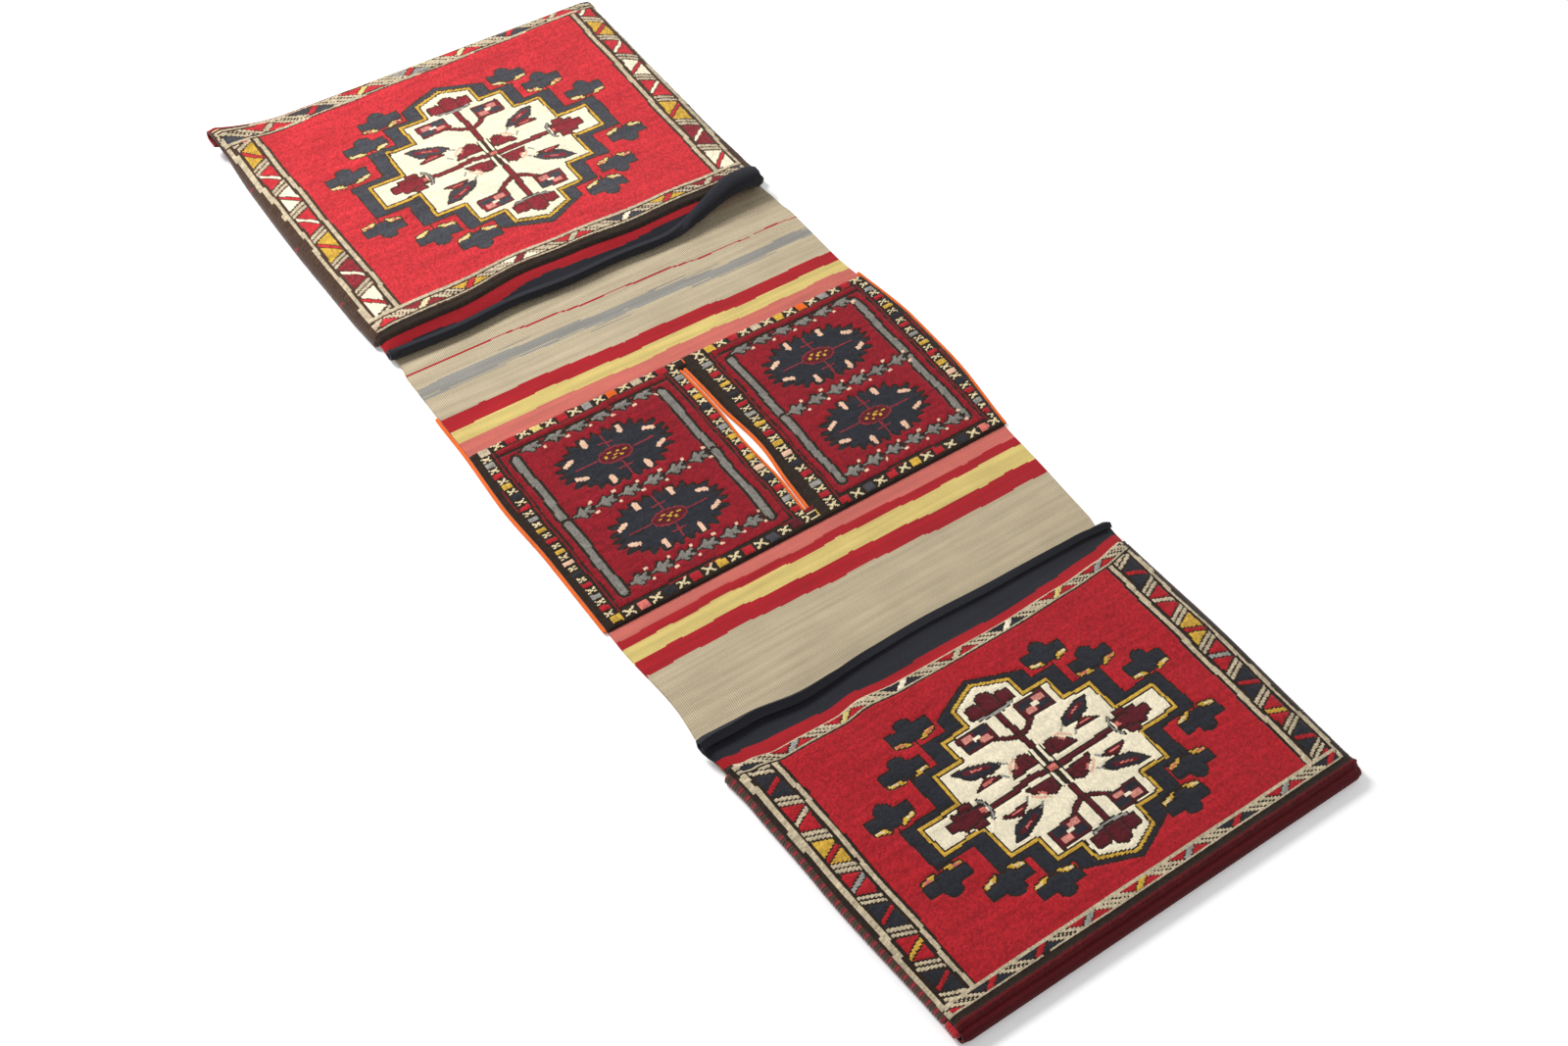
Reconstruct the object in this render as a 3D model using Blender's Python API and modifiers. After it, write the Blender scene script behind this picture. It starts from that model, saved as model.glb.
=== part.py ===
"""Kilim saddle bag: one long flat-woven cloth, folded up at both ends into two pouches.

Knotted pile covers the two pouch faces and the two halves of the centre, which a slit divides.
Overcast cords close the pouch sides and bind the edges of the centre and of its slit.
Metres, +Z up. X runs across the cloth and Y along it, and the bag lies flat on z = 0.
"""

import math

import bmesh
import bpy

# Overall size, and how thick the flat weave and the knotted pile on it are
WIDTH = 0.532
MIDDLE = 0.0045
LENGTH = 1.311
WEAVE = 0.003
PILE = 0.005
PILE_SHOULDER = 0.0015

# Cords: the overcast side seams with their corner wraps, and the bindings of the centre
SEAM_PROUD = 0.0008
SEAM_PITCH = 0.018
CORNER_LENGTH = 0.016
BINDING_RADIUS = 0.0021
BINDING_PITCH = 0.016
STITCH_DEPTH = 0.18
CORD_GAP = 0.0003

# Pouches: the space inside, how it narrows at the side seams, and the lifted far left corner
POCKET_GAP = 0.011
RIM_DROP = 0.004
RIM_WIDTH = 0.008
PILE_TO_FOLD = 0.007
EAR_LIFT = 0.018
EAR_REACH = 0.085
FAR_END_SKEW = 0.005
NEAR_END_REACH = 0.0047
NEAR_END_SKEW = 0.003

# Pouch mouths: where the pile ends, and the flat-woven flap beyond it
FAR_MOUTH = 0.296
FAR_MOUTH_DIP = 0.009
FAR_FLAP = 0.040
FAR_FLAP_RED = 0.0145
FAR_LIP_GAP = 0.0012
FAR_ROLLED = 0.014
FAR_ROLL_RADIUS = 0.0045
NEAR_MOUTH = -0.337
NEAR_MOUTH_RISE = 0.009
MOUTH_REACH = 0.06
NEAR_FLAP = 0.031
NEAR_FLAP_RED = 0.009
ROLL_RADIUS = 0.0042

# The curled corner of the far flap: where it starts and is full, and its shape there
CURL_START = 0.09
CURL_FULL = 0.22
CURL_LENGTH = 0.050
CURL_RADIUS = 0.011
CURL_SLOPE = math.radians(-20.0)

# The knotted centre and its slit
CENTRE_FAR = 0.115
CENTRE_NEAR = -0.1405
SLIT_FAR = 0.103
SLIT_NEAR = -0.1205
SLIT_CLOSED = 0.0012
SLIT_OPEN = 0.0072
SLIT_WIDEST = -0.020
SLIT_REACH = 0.060
LEFT_BINDING_FAR = 0.176
RIGHT_BINDING_FAR = 0.122
BINDING_NEAR = -0.139

# How far the cloth's edges lie inside the overall width, by share of the half length
LEFT_INSET = [(1.0, 0.004), (0.69, 0.0), (0.53, 0.001), (0.38, 0.006), (0.20, 0.005),
              (0.055, 0.001), (-0.06, 0.004), (-0.24, 0.004), (-0.37, 0.0095), (-0.47, 0.0035),
              (-0.57, 0.0095), (-0.70, 0.0125), (-1.0, 0.023)]
RIGHT_INSET = [(1.0, 0.022), (0.61, 0.023), (0.50, 0.021), (0.38, 0.015), (0.25, 0.0145),
               (0.05, 0.0), (-0.04, 0.0), (-0.25, 0.0135), (-0.46, 0.0175), (-0.76, 0.009),
               (-1.0, 0.007)]

# Stripes of the flat weave, from the far end: where each begins and its dye
STRIPES = [(0.340, "undyed"), (0.242, "madder"), (0.2402, "undyed"), (0.2192, "slate"),
           (0.2042, "undyed"), (0.1722, "madder"), (0.1533, "straw"), (0.1363, "rose"),
           (0.115, "crimson"), (-0.1405, "rose"), (-0.1532, "madder"), (-0.1631, "straw"),
           (-0.1811, "madder"), (-0.204, "undyed"), (-0.380, "crimson")]

# Pouch face: edge band and borders, and the stepped medallion as half sizes with its outline
EDGE_BAND = 0.010
SIDE_BORDER = 0.043
END_BORDER = 0.030
MEDALLION = [(0.147, 0.017), (0.097, 0.054), (0.063, 0.080), (0.031, 0.103)]
MEDALLION_LINE = 0.014

# Centre: the frame of each half and the two stepped flowers in it
CENTRE_BORDER = 0.012
FLOWER_X = 0.129
FLOWERS_Y = [0.0385, -0.057]
FLOWER = [(0.055, 0.011), (0.032, 0.026), (0.018, 0.035)]

DYES = {
    "madder": (0.48, 0.020, 0.032),
    "crimson": (0.24, 0.006, 0.012),
    "undyed": (0.56, 0.47, 0.32),
    "ivory": (0.88, 0.80, 0.62),
    "indigo": (0.022, 0.024, 0.032),
    "slate": (0.33, 0.34, 0.33),
    "straw": (0.68, 0.53, 0.20),
    "rose": (0.72, 0.22, 0.18),
    "umber": (0.030, 0.018, 0.011),
    "orange": (0.78, 0.12, 0.008),
}
WOOL_ROUGHNESS = 0.9
BORDER_DYES = ["straw", "undyed", "madder", "undyed", "indigo", "undyed"]

NOMINAL_HALF = 0.245
BINDING_WIDTH = 2 * BINDING_RADIUS + CORD_GAP
RIM_GAP = POCKET_GAP - RIM_DROP
SEAM_RADIUS = RIM_GAP / 2 + SEAM_PROUD
SEAM_SEAT = math.sqrt((SEAM_RADIUS + CORD_GAP) ** 2 - (RIM_GAP / 2) ** 2)
SEAM_WIDTH = SEAM_RADIUS + SEAM_SEAT
SLIT_HALF = BINDING_WIDTH + SLIT_CLOSED / 2
FOLD_RADIUS = (WEAVE + POCKET_GAP) / 2
FOLD = LENGTH / 2 - FOLD_RADIUS - WEAVE / 2
FAR_PILE_END = FOLD - PILE_TO_FOLD
NEAR_PILE_END = -FAR_PILE_END
FAR_LIP = FAR_MOUTH - FAR_FLAP
NEAR_LIP = NEAR_MOUTH + NEAR_FLAP + 2 * ROLL_RADIUS


def clear_scene():
    for obj in list(bpy.data.objects):
        bpy.data.objects.remove(obj, do_unlink=True)


def dyed_wool(name):
    """The wool of one dye, made once."""
    if name in bpy.data.materials:
        return bpy.data.materials[name]
    wool = bpy.data.materials.new(name)
    wool.use_nodes = True
    shader = wool.node_tree.nodes["Principled BSDF"]
    shader.inputs["Base Color"].default_value = (*DYES[name], 1.0)
    shader.inputs["Roughness"].default_value = WOOL_ROUGHNESS
    shader.inputs["Metallic"].default_value = 0.0
    return wool


def ease(t):
    """An S curve from 0 at 0 to 1 at 1."""
    t = min(1.0, max(0.0, t))
    return t * t * (3.0 - 2.0 * t)


def swell(t):
    """1 at 0, falling smoothly to 0 at -1 and 1."""
    return (1.0 - t * t) ** 2 if abs(t) < 1.0 else 0.0


def inset_at(table, y):
    """The inset of an edge at station y, eased between the stations of its table."""
    share = min(1.0, max(-1.0, 2.0 * y / LENGTH))
    for (high, first), (low, second) in zip(table, table[1:]):
        if share >= low:
            return second + (first - second) * ease((share - low) / (high - low))
    return table[-1][1]


def cord_room(y):
    """What the cloth's edge leaves free for its cord: a binding, or a seam beside a pouch."""
    over = max(y - FAR_LIP, NEAR_LIP - y) + SEAM_PITCH
    return BINDING_WIDTH + (SEAM_WIDTH - BINDING_WIDTH) * ease(over / SEAM_PITCH)


def outline(side, y):
    """X of the bag's outer edge on one side, -1 left or 1 right."""
    inset = inset_at(LEFT_INSET if side < 0 else RIGHT_INSET, y)
    return MIDDLE + side * (WIDTH / 2 - inset)


def cloth_edge(side, y):
    return outline(side, y) - side * cord_room(y)


def slit_half(y):
    return SLIT_HALF + SLIT_OPEN / 2 * swell((y - SLIT_WIDEST) / SLIT_REACH)


def across(x, y):
    """World x of a place x across a cloth of the nominal width, at station y."""
    left, right = cloth_edge(-1, y), cloth_edge(1, y)
    return (left + right) / 2 + x / NOMINAL_HALF * (right - left) / 2


def ear(x, y):
    """How high the far left corner is lifted off the floor."""
    side = max(0.0, 1.0 - (x + NOMINAL_HALF) / EAR_REACH)
    end = min(1.0, max(0.0, 1.0 - (FOLD - y) / EAR_REACH))
    return EAR_LIFT * (side * end) ** 2


def mouth_shift(x, y):
    """How far the left end of a pouch's mouth lies nearer the camera or the centre."""
    left = -x / NOMINAL_HALF
    if y >= FAR_MOUTH:
        dip = -FAR_MOUTH_DIP * ease((left - 0.3) / 0.3)
        return dip * ease(1.0 - (y - FAR_MOUTH) / MOUTH_REACH)
    if y <= NEAR_MOUTH:
        rise = NEAR_MOUTH_RISE * ease((left - 0.75) / 0.2)
        return rise * ease(1.0 - (NEAR_MOUTH - y) / MOUTH_REACH)
    return 0.0


def skew(x, y):
    """How far a place is drawn along the bag: the ends and mouths aren't quite square."""
    far = ease((y - FAR_MOUTH) / (FOLD - FAR_MOUTH))
    near = ease((NEAR_MOUTH - y) / (FOLD + NEAR_MOUTH))
    across_far, across_near = FAR_END_SKEW * x / NOMINAL_HALF, NEAR_END_SKEW * x / NOMINAL_HALF
    return across_far * far - (NEAR_END_REACH + across_near) * near + mouth_shift(x, y)


def pocket_gap(x):
    """The space between the two layers of a pouch, narrower at the side seams."""
    return POCKET_GAP - RIM_DROP * ease(1.0 - (NOMINAL_HALF - abs(x)) / RIM_WIDTH)


def upper_mid(x, y):
    """Mid height of the flat weave of a pouch's upper layer."""
    return WEAVE + pocket_gap(x) + WEAVE / 2 + ear(x, y)


def face_place(x, y, pile=0.0):
    """A place on a pouch's upper layer, in the middle of the weave and its pile."""
    return across(x, y), y + skew(x, y), upper_mid(x, y) + pile / 2


def back_place(x, y, pile=0.0):
    """A place on the layer that lies on the floor."""
    world_x = across(x, y)
    if abs(x) <= SLIT_HALF:
        world_x = across(0.0, y) + math.copysign(slit_half(y), x)
    return world_x, y + skew(x, y), (WEAVE + pile) / 2 + ear(x, y)


def fold_place(x, side, turn):
    """A place on the fold at a pouch's end, turned from the upper layer down to the lower."""
    y = side * FOLD
    high, low = upper_mid(x, y), WEAVE / 2 + ear(x, y)
    radius = (high - low) / 2
    out = side * radius * math.sin(turn)
    return across(x, y), y + skew(x, y) + out, (high + low) / 2 + radius * math.cos(turn)


def flap_place(x, mouth, towards, reach, rise):
    """A place on a mouth flap, so far out from the pile and above its own layer."""
    start = mouth + skew(x, mouth)
    return across(x, mouth), start + towards * reach, upper_mid(x, mouth) + rise


def far_flap_place(x, station):
    """The far flap slopes down to a rolled lip, and at the right it curls up over itself."""
    curl = ease((x - CURL_START) / (CURL_FULL - CURL_START))
    length = FAR_FLAP + mouth_shift(x, FAR_MOUTH)
    drop = pocket_gap(x) - FAR_LIP_GAP - 0.15 * FAR_ROLL_RADIUS
    slope = -math.asin(drop / (length - FAR_ROLLED)) * (1.0 - curl) + CURL_SLOPE * curl
    length += (CURL_LENGTH - length) * curl
    flat = (length - FAR_ROLLED) * (1.0 - curl)
    radius = FAR_ROLL_RADIUS + (CURL_RADIUS - FAR_ROLL_RADIUS) * curl
    along = station / FAR_FLAP * length
    straight = min(along, flat)
    turned = slope + (along - straight) / radius
    reach = straight * math.cos(slope) + radius * (math.sin(turned) - math.sin(slope))
    rise = straight * math.sin(slope) + radius * (math.cos(slope) - math.cos(turned))
    return flap_place(x, FAR_MOUTH, -1.0, reach, rise)


def near_flap_place(x, length):
    return flap_place(x, NEAR_MOUTH, 1.0, length, 0.0)


def mirrored(values):
    return [-v for v in sorted(values, reverse=True)] + sorted(values)


def cloth_columns():
    """The lines across the cloth, as nominal x."""
    lines = [SLIT_HALF, NOMINAL_HALF, NOMINAL_HALF - RIM_WIDTH, NOMINAL_HALF - SIDE_BORDER]
    lines += [half for half, _ in MEDALLION] + [half + MEDALLION_LINE for half, _ in MEDALLION]
    lines.append(FLOWER_X + FLOWER[0][0])
    return mirrored(lines)


def medallion_rows(mouth, end):
    middle = (mouth + end) / 2
    steps = [half for _, half in MEDALLION] + [half + MEDALLION_LINE for _, half in MEDALLION]
    return [middle + half for half in mirrored(steps)]


def face_rows(mouth, end):
    """Stations of a pouch's pile face, each with its pile height, from mouth to fold end."""
    side = math.copysign(1.0, end - mouth)
    rows = [(mouth, 0.0), (mouth + side * PILE_SHOULDER, PILE)]
    rows += [(mouth + side * band, PILE) for band in (EDGE_BAND, END_BORDER)]
    rows += [(y, PILE) for y in medallion_rows(mouth, end)]
    rows += [(end - side * band, PILE) for band in (END_BORDER, EDGE_BAND)]
    rows += [(end - side * PILE_SHOULDER, PILE), (end, 0.0)]
    return sorted(rows, key=lambda row: side * row[0])


def back_rows():
    """Stations of the lower layer from the far fold to the near one, with pile heights."""
    rows = [(FOLD, 0.0), (-FOLD, 0.0)] + [(start, 0.0) for start, _ in STRIPES]
    rows += [(y, 0.0) for y, _ in face_rows(FAR_MOUTH, FAR_PILE_END)]
    rows += [(y, 0.0) for y, _ in face_rows(NEAR_MOUTH, NEAR_PILE_END)]
    inside = [CENTRE_FAR - PILE_SHOULDER, CENTRE_NEAR + PILE_SHOULDER, SLIT_FAR, SLIT_NEAR]
    inside += [centre + half for centre in FLOWERS_Y for half in mirrored([h for _, h in FLOWER])]
    inside.append(sum(FLOWERS_Y) / 2)
    return sorted(rows + [(y, PILE) for y in inside], reverse=True)


def cloth_rows():
    """Every line along the cloth: its place function, its thickness, its layer and station."""
    rows = []
    red, navy = FAR_FLAP_RED, (FAR_FLAP - FAR_FLAP_RED) / 8
    for length in [FAR_FLAP - navy * i for i in range(8)] + [red, red / 2]:
        rows.append((lambda x, s=length: far_flap_place(x, s), WEAVE, "far_flap", length))
    for y, pile in face_rows(FAR_MOUTH, FAR_PILE_END) + [(FOLD, 0.0)]:
        rows.append((lambda x, y=y, p=pile: face_place(x, y, p), WEAVE + pile, "far_face", y))
    for turn in (36, 72, 108, 144):
        angle = math.radians(turn)
        rows.append((lambda x, a=angle: fold_place(x, 1.0, a), WEAVE, "fold", FOLD))
    for y, pile in back_rows():
        rows.append((lambda x, y=y, p=pile: back_place(x, y, p), WEAVE + pile, "back", y))
    for turn in (144, 108, 72, 36):
        angle = math.radians(turn)
        rows.append((lambda x, a=angle: fold_place(x, -1.0, a), WEAVE, "fold", -FOLD))
    for y, pile in [(-FOLD, 0.0)] + face_rows(NEAR_MOUTH, NEAR_PILE_END)[::-1]:
        rows.append((lambda x, y=y, p=pile: face_place(x, y, p), WEAVE + pile, "near_face", y))
    for length in (NEAR_FLAP_RED, NEAR_FLAP):
        rows.append((lambda x, s=length: near_flap_place(x, s), WEAVE, "near_flap", length))
    for share in (-0.75, -0.35, 0.0, 0.35, 0.75):
        length = NEAR_FLAP + ROLL_RADIUS * (1.0 + share)
        thick = 2.0 * ROLL_RADIUS * math.sqrt(1.0 - share ** 2)
        rows.append((lambda x, s=length: near_flap_place(x, s), thick, "near_flap", length))
    return rows


def inside_steps(x, y, steps, more=0.0):
    return any(x < half_x + more and y < half_y + more for half_x, half_y in steps)


def face_dye(x, y, mouth, end):
    """The dye of a pouch's pile face at a place on it."""
    depth = min(abs(y - mouth), abs(end - y))
    side = NOMINAL_HALF - abs(x)
    from_middle = abs(y - (mouth + end) / 2)
    if depth < EDGE_BAND or side < RIM_WIDTH:
        return "umber"
    if side < SIDE_BORDER or depth < END_BORDER:
        return BORDER_DYES[int((from_middle + abs(x) / 2) / EDGE_BAND / 2) % len(BORDER_DYES)]
    if inside_steps(abs(x), from_middle, MEDALLION):
        return "crimson" if abs(x) < SLIT_HALF else "ivory"
    return "indigo" if inside_steps(abs(x), from_middle, MEDALLION, MEDALLION_LINE) else "madder"


def centre_dye(x, y):
    """The dye of the knotted centre at a place on it."""
    for flower_y in FLOWERS_Y:
        from_x, from_y = abs(abs(x) - FLOWER_X), abs(y - flower_y)
        if inside_steps(from_x, from_y, FLOWER[2:]) and from_y < FLOWER[0][1]:
            return "straw"
        if inside_steps(from_x, from_y, FLOWER):
            return "indigo" if from_x < FLOWER[1][0] else "rose"
    if y > SLIT_FAR or y < SLIT_NEAR:
        return "umber"
    return "umber" if min(NOMINAL_HALF - abs(x), abs(x)) < CENTRE_BORDER else "crimson"


def cell_dye(layer, x, station):
    """The dye of one cell of the cloth, by its layer, nominal x and station."""
    if layer == "far_flap":
        return "indigo" if station > FAR_FLAP_RED else "madder"
    if layer == "near_flap":
        return "indigo" if station > NEAR_FLAP_RED else "madder"
    if layer == "far_face":
        return face_dye(x, station, FAR_MOUTH, FAR_PILE_END)
    if layer == "near_face":
        return face_dye(x, station, NEAR_MOUTH, NEAR_PILE_END)
    if layer == "back" and CENTRE_NEAR < station < CENTRE_FAR:
        return centre_dye(x, station)
    starts = [dye for start, dye in STRIPES if station < start]
    return starts[-1] if starts and layer == "back" else "crimson"


def cell_of(rows, columns, row, column):
    """Layer, nominal x and station in the middle of the cell that starts at a row and column."""
    first, second = rows[row], rows[row + 1]
    x = (columns[column] + columns[column + 1]) / 2
    if first[2] == second[2]:
        return first[2], x, (first[3] + second[3]) / 2
    layer = first[2] if second[2].endswith("face") else second[2]
    return layer, x, second[3] / 2 if layer == "near_flap" else first[3] / 2


def in_slit(layer, x, station):
    return layer == "back" and abs(x) < SLIT_HALF and SLIT_NEAR < station < SLIT_FAR


def make_cloth(collection):
    """The one folded cloth: a flat grid laid over the folds, slit, dyed and given its thickness."""
    rows, columns = cloth_rows(), cloth_columns()
    cloth = bmesh.new()
    bmesh.ops.create_grid(cloth, x_segments=len(columns) - 1, y_segments=len(rows) - 1, size=1.0)
    thickest = max(row[1] for row in rows)
    weights = cloth.verts.layers.deform.verify()
    dyes = sorted(DYES)
    where = {}
    for vert in cloth.verts:
        column = round((vert.co.x + 1.0) / 2.0 * (len(columns) - 1))
        row = round((vert.co.y + 1.0) / 2.0 * (len(rows) - 1))
        where[vert.index] = (row, column)
        vert.co = rows[row][0](columns[column])
        vert[weights][0] = rows[row][1] / thickest
    opened = []
    for face in cloth.faces:
        row = min(where[v.index][0] for v in face.verts)
        column = min(where[v.index][1] for v in face.verts)
        cell = cell_of(rows, columns, row, column)
        face.material_index = dyes.index(cell_dye(*cell))
        if in_slit(*cell):
            opened.append(face)
    bmesh.ops.delete(cloth, geom=opened, context="FACES")
    mesh = bpy.data.meshes.new("woven_cloth")
    cloth.to_mesh(mesh)
    cloth.free()
    for name in dyes:
        mesh.materials.append(dyed_wool(name))
    obj = bpy.data.objects.new("woven_cloth", mesh)
    obj.vertex_groups.new(name="thickness")
    collection.objects.link(obj)
    thicken = obj.modifiers.new("Thickness", "SOLIDIFY")
    thicken.thickness = thickest
    thicken.offset = 0.0
    thicken.vertex_group = "thickness"
    thin = obj.modifiers.new("Flat areas", "DECIMATE")
    thin.decimate_type = "DISSOLVE"
    thin.angle_limit = math.radians(0.6)
    thin.delimit = {"MATERIAL"}
    return obj


def make_cord(collection, name, dye, path, radius, pitch):
    """A cord of overcast stitches: a tube along a path, drawn in between the stitches."""
    curve = bpy.data.curves.new(name, "CURVE")
    curve.dimensions = "3D"
    curve.bevel_depth = radius
    curve.bevel_resolution = 1
    curve.use_fill_caps = True
    length = sum(math.dist(a, b) for a, b in zip(path, path[1:]))
    steps = 2 * max(2, round(length / pitch))
    spline = curve.splines.new("POLY")
    spline.points.add(steps)
    for i, point in enumerate(spline.points):
        point.co = (*place_along(path, length * i / steps), 1.0)
        point.radius = 1.0 - STITCH_DEPTH * ((i + 1) % 2)
    curve.materials.append(dyed_wool(dye))
    obj = bpy.data.objects.new(name, curve)
    collection.objects.link(obj)
    return obj


def place_along(path, distance):
    for start, end in zip(path, path[1:]):
        step = math.dist(start, end)
        if distance <= step or end is path[-1]:
            share = min(1.0, distance / step)
            return [a + (b - a) * share for a, b in zip(start, end)]
        distance -= step
    return path[-1]


def stations_between(stations, start, end):
    """The cloth's own stations from start to end, so that a cord follows its edge."""
    low, high = min(start, end), max(start, end)
    return [start] + sorted([y for y in stations if low < y < high], reverse=start > end) + [end]


def edge_path(side, stations, radius, height):
    """A path beside one edge of the cloth and clear of it."""
    path = []
    for y in stations:
        x, along = side * NOMINAL_HALF, outline(side, y) - side * radius
        path.append((along, y + skew(x, y), height + ear(x, y)))
    return path


def slit_path(side, stations, height):
    """A path along one side of the slit, clear of the cloth."""
    room = CORD_GAP + BINDING_RADIUS
    return [(across(0.0, y) + side * (slit_half(y) - room), y, height) for y in stations]


def make_seams(collection):
    rim = WEAVE + RIM_GAP / 2
    corner = CORNER_LENGTH - FOLD
    far = [y for y, _ in face_rows(FAR_MOUTH, FAR_PILE_END)]
    near = [y for y, _ in face_rows(NEAR_MOUTH, NEAR_PILE_END)]
    for side, hand in ((-1, "left"), (1, "right")):
        path = edge_path(side, stations_between(far, FAR_MOUTH, FOLD), SEAM_RADIUS, rim)
        make_cord(collection, f"side_seam_far_{hand}", "umber", path, SEAM_RADIUS, SEAM_PITCH)
        path = edge_path(side, stations_between(near, NEAR_MOUTH, corner), SEAM_RADIUS, rim)
        make_cord(collection, f"side_seam_near_{hand}", "umber", path, SEAM_RADIUS, SEAM_PITCH)
        path = edge_path(side, stations_between(near, corner - CORD_GAP, -FOLD), SEAM_RADIUS, rim)
        make_cord(collection, f"corner_wrap_{hand}", "madder", path, SEAM_RADIUS, CORNER_LENGTH / 2)


def make_bindings(collection):
    height = (WEAVE + BINDING_RADIUS) / 2
    rows = [y for y, _ in back_rows()]
    slit_ends = SLIT_FAR - CORD_GAP, SLIT_NEAR + CORD_GAP
    for side, hand, far in ((-1, "left", LEFT_BINDING_FAR), (1, "right", RIGHT_BINDING_FAR)):
        path = edge_path(side, stations_between(rows, far, BINDING_NEAR), BINDING_RADIUS, height)
        make_cord(collection, f"edge_binding_{hand}", "orange", path, BINDING_RADIUS, BINDING_PITCH)
        path = slit_path(side, stations_between(rows, *slit_ends), height)
        make_cord(collection, f"slit_binding_{hand}", "orange", path, BINDING_RADIUS, BINDING_PITCH)


def stand_on_origin(collection):
    """Hang every piece on one empty that sets the bag's middle on the origin."""
    root = bpy.data.objects.new("saddle_bag", None)
    collection.objects.link(root)
    corners = []
    bpy.context.view_layer.update()
    graph = bpy.context.evaluated_depsgraph_get()
    for obj in collection.objects:
        if obj is not root:
            obj.parent = root
            solid = obj.evaluated_get(graph).to_mesh()
            corners += [tuple(v.co) for v in solid.vertices]
    low = [min(c[i] for c in corners) for i in range(3)]
    high = [max(c[i] for c in corners) for i in range(3)]
    root.location = (-(low[0] + high[0]) / 2, -(low[1] + high[1]) / 2, -low[2])


def main():
    clear_scene()
    collection = bpy.data.collections.new("kilim_saddle_bag")
    bpy.context.scene.collection.children.link(collection)
    make_cloth(collection)
    make_seams(collection)
    make_bindings(collection)
    stand_on_origin(collection)


main()
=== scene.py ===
"""The saddle bag's visible surfaces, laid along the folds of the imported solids.

Each stretch of the cloth is a closed sheet of small cells. Simple shapes dye the cells: borders,
stepped medallions, flowers and stripes. Overcast stitches close the pouches and bind the centre.
Lengths are in metres, and pattern sizes in millimetres.
"""

import math

import bpy
import numpy as np
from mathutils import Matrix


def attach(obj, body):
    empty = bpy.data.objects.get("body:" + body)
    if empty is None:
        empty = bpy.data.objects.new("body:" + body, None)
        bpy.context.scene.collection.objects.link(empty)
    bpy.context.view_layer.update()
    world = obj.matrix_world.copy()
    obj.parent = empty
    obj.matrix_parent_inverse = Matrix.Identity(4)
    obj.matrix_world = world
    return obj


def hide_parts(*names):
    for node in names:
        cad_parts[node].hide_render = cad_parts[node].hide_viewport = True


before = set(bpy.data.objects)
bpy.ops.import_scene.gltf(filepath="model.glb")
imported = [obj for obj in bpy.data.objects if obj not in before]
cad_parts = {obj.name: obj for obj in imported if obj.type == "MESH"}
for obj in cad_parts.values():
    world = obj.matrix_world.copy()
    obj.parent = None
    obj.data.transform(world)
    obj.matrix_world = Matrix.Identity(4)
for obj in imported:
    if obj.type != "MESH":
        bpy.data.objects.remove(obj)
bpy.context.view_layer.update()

# The solid's own sizes, and its shift to the part's origin
SHIFT = (-0.004521, 0.001382, 0.0)
WIDTH = 0.532
MIDDLE = 0.0045
LENGTH = 1.311
WEAVE = 0.003
PILE = 0.005
SEAM_WIDTH = 0.0073
SEAM_PITCH = 0.018
BINDING_RADIUS = 0.0021
BINDING_WIDTH = 0.0045
POCKET_GAP = 0.011
RIM_DROP = 0.004
RIM_WIDTH = 0.008
EAR_LIFT = 0.018
EAR_REACH = 0.085
EAR_PULL = 0.010
CURL_INSET = 0.012
FAR_END_SKEW = 0.005
NEAR_END_REACH = 0.0047
NEAR_END_SKEW = 0.003
FAR_MOUTH = 0.296
FAR_LIP_GAP = 0.0012
FAR_ROLLED = 0.014
FAR_ROLL_RADIUS = 0.0045
NEAR_MOUTH = -0.337
MOUTH_REACH = 0.06
CURL_START = 0.09
CURL_FULL = 0.22
CURL_LENGTH = 0.050
CURL_RADIUS = 0.011
CURL_SLOPE = math.radians(-20.0)
FAR_LIP = 0.256
NEAR_LIP = -0.2976
CENTRE_FAR = 0.115
CENTRE_NEAR = -0.1405
SLIT_FAR = 0.103
SLIT_NEAR = -0.1205
SLIT_HALF = 0.0051
SLIT_OPEN = 0.0072
SLIT_WIDEST = -0.020
SLIT_REACH = 0.060
NOMINAL_HALF = 0.245
FOLD_RADIUS = 0.007
FOLD = 0.647
CORNER_LENGTH = 0.016
LEFT_BINDING_FAR = 0.176
RIGHT_BINDING_FAR = 0.122
BINDING_NEAR = -0.139
LEFT_INSET = [
    (1.0, 0.004), (0.69, 0.0), (0.53, 0.001), (0.38, 0.006), (0.20, 0.005), (0.055, 0.001),
    (-0.06, 0.004), (-0.24, 0.004), (-0.37, 0.0095), (-0.47, 0.0035), (-0.57, 0.0095),
    (-0.70, 0.0125), (-1.0, 0.023)]
RIGHT_INSET = [
    (1.0, 0.022), (0.61, 0.023), (0.50, 0.021), (0.38, 0.015), (0.25, 0.0145), (0.05, 0.0),
    (-0.04, 0.0), (-0.25, 0.0135), (-0.46, 0.0175), (-0.76, 0.009), (-1.0, 0.007)]

# The soft shape over it: the wavy mouths and lips, the rims and the stitches
FAR_MOUTH_LINE = [
    (-0.245, -0.0095), (-0.16, -0.009), (-0.06, 0.0017), (0.0, -0.0003), (0.07, -0.004),
    (0.15, -0.001), (0.245, -0.001)]
NEAR_MOUTH_LINE = [
    (-0.245, 0.0095), (-0.225, 0.003), (-0.195, -0.003), (-0.13, -0.004), (-0.10, 0.0),
    (-0.06, -0.004), (0.06, -0.006), (0.15, -0.003), (0.20, 0.001), (0.245, 0.0085)]
FAR_LIP_LINE = [
    (-0.245, 0.2640), (-0.17, 0.2615), (-0.10, 0.2655), (-0.03, 0.2625), (0.04, 0.2650),
    (0.09, 0.2630)]
NEAR_LIP_LINE = [
    (-0.245, -0.2885), (-0.20, -0.2920), (-0.14, -0.2995), (-0.06, -0.2965), (0.0, -0.2955),
    (0.10, -0.2985), (0.20, -0.2995), (0.245, -0.3025)]
FLAP_TIP = 0.050
FAR_HEM = 0.006
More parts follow.
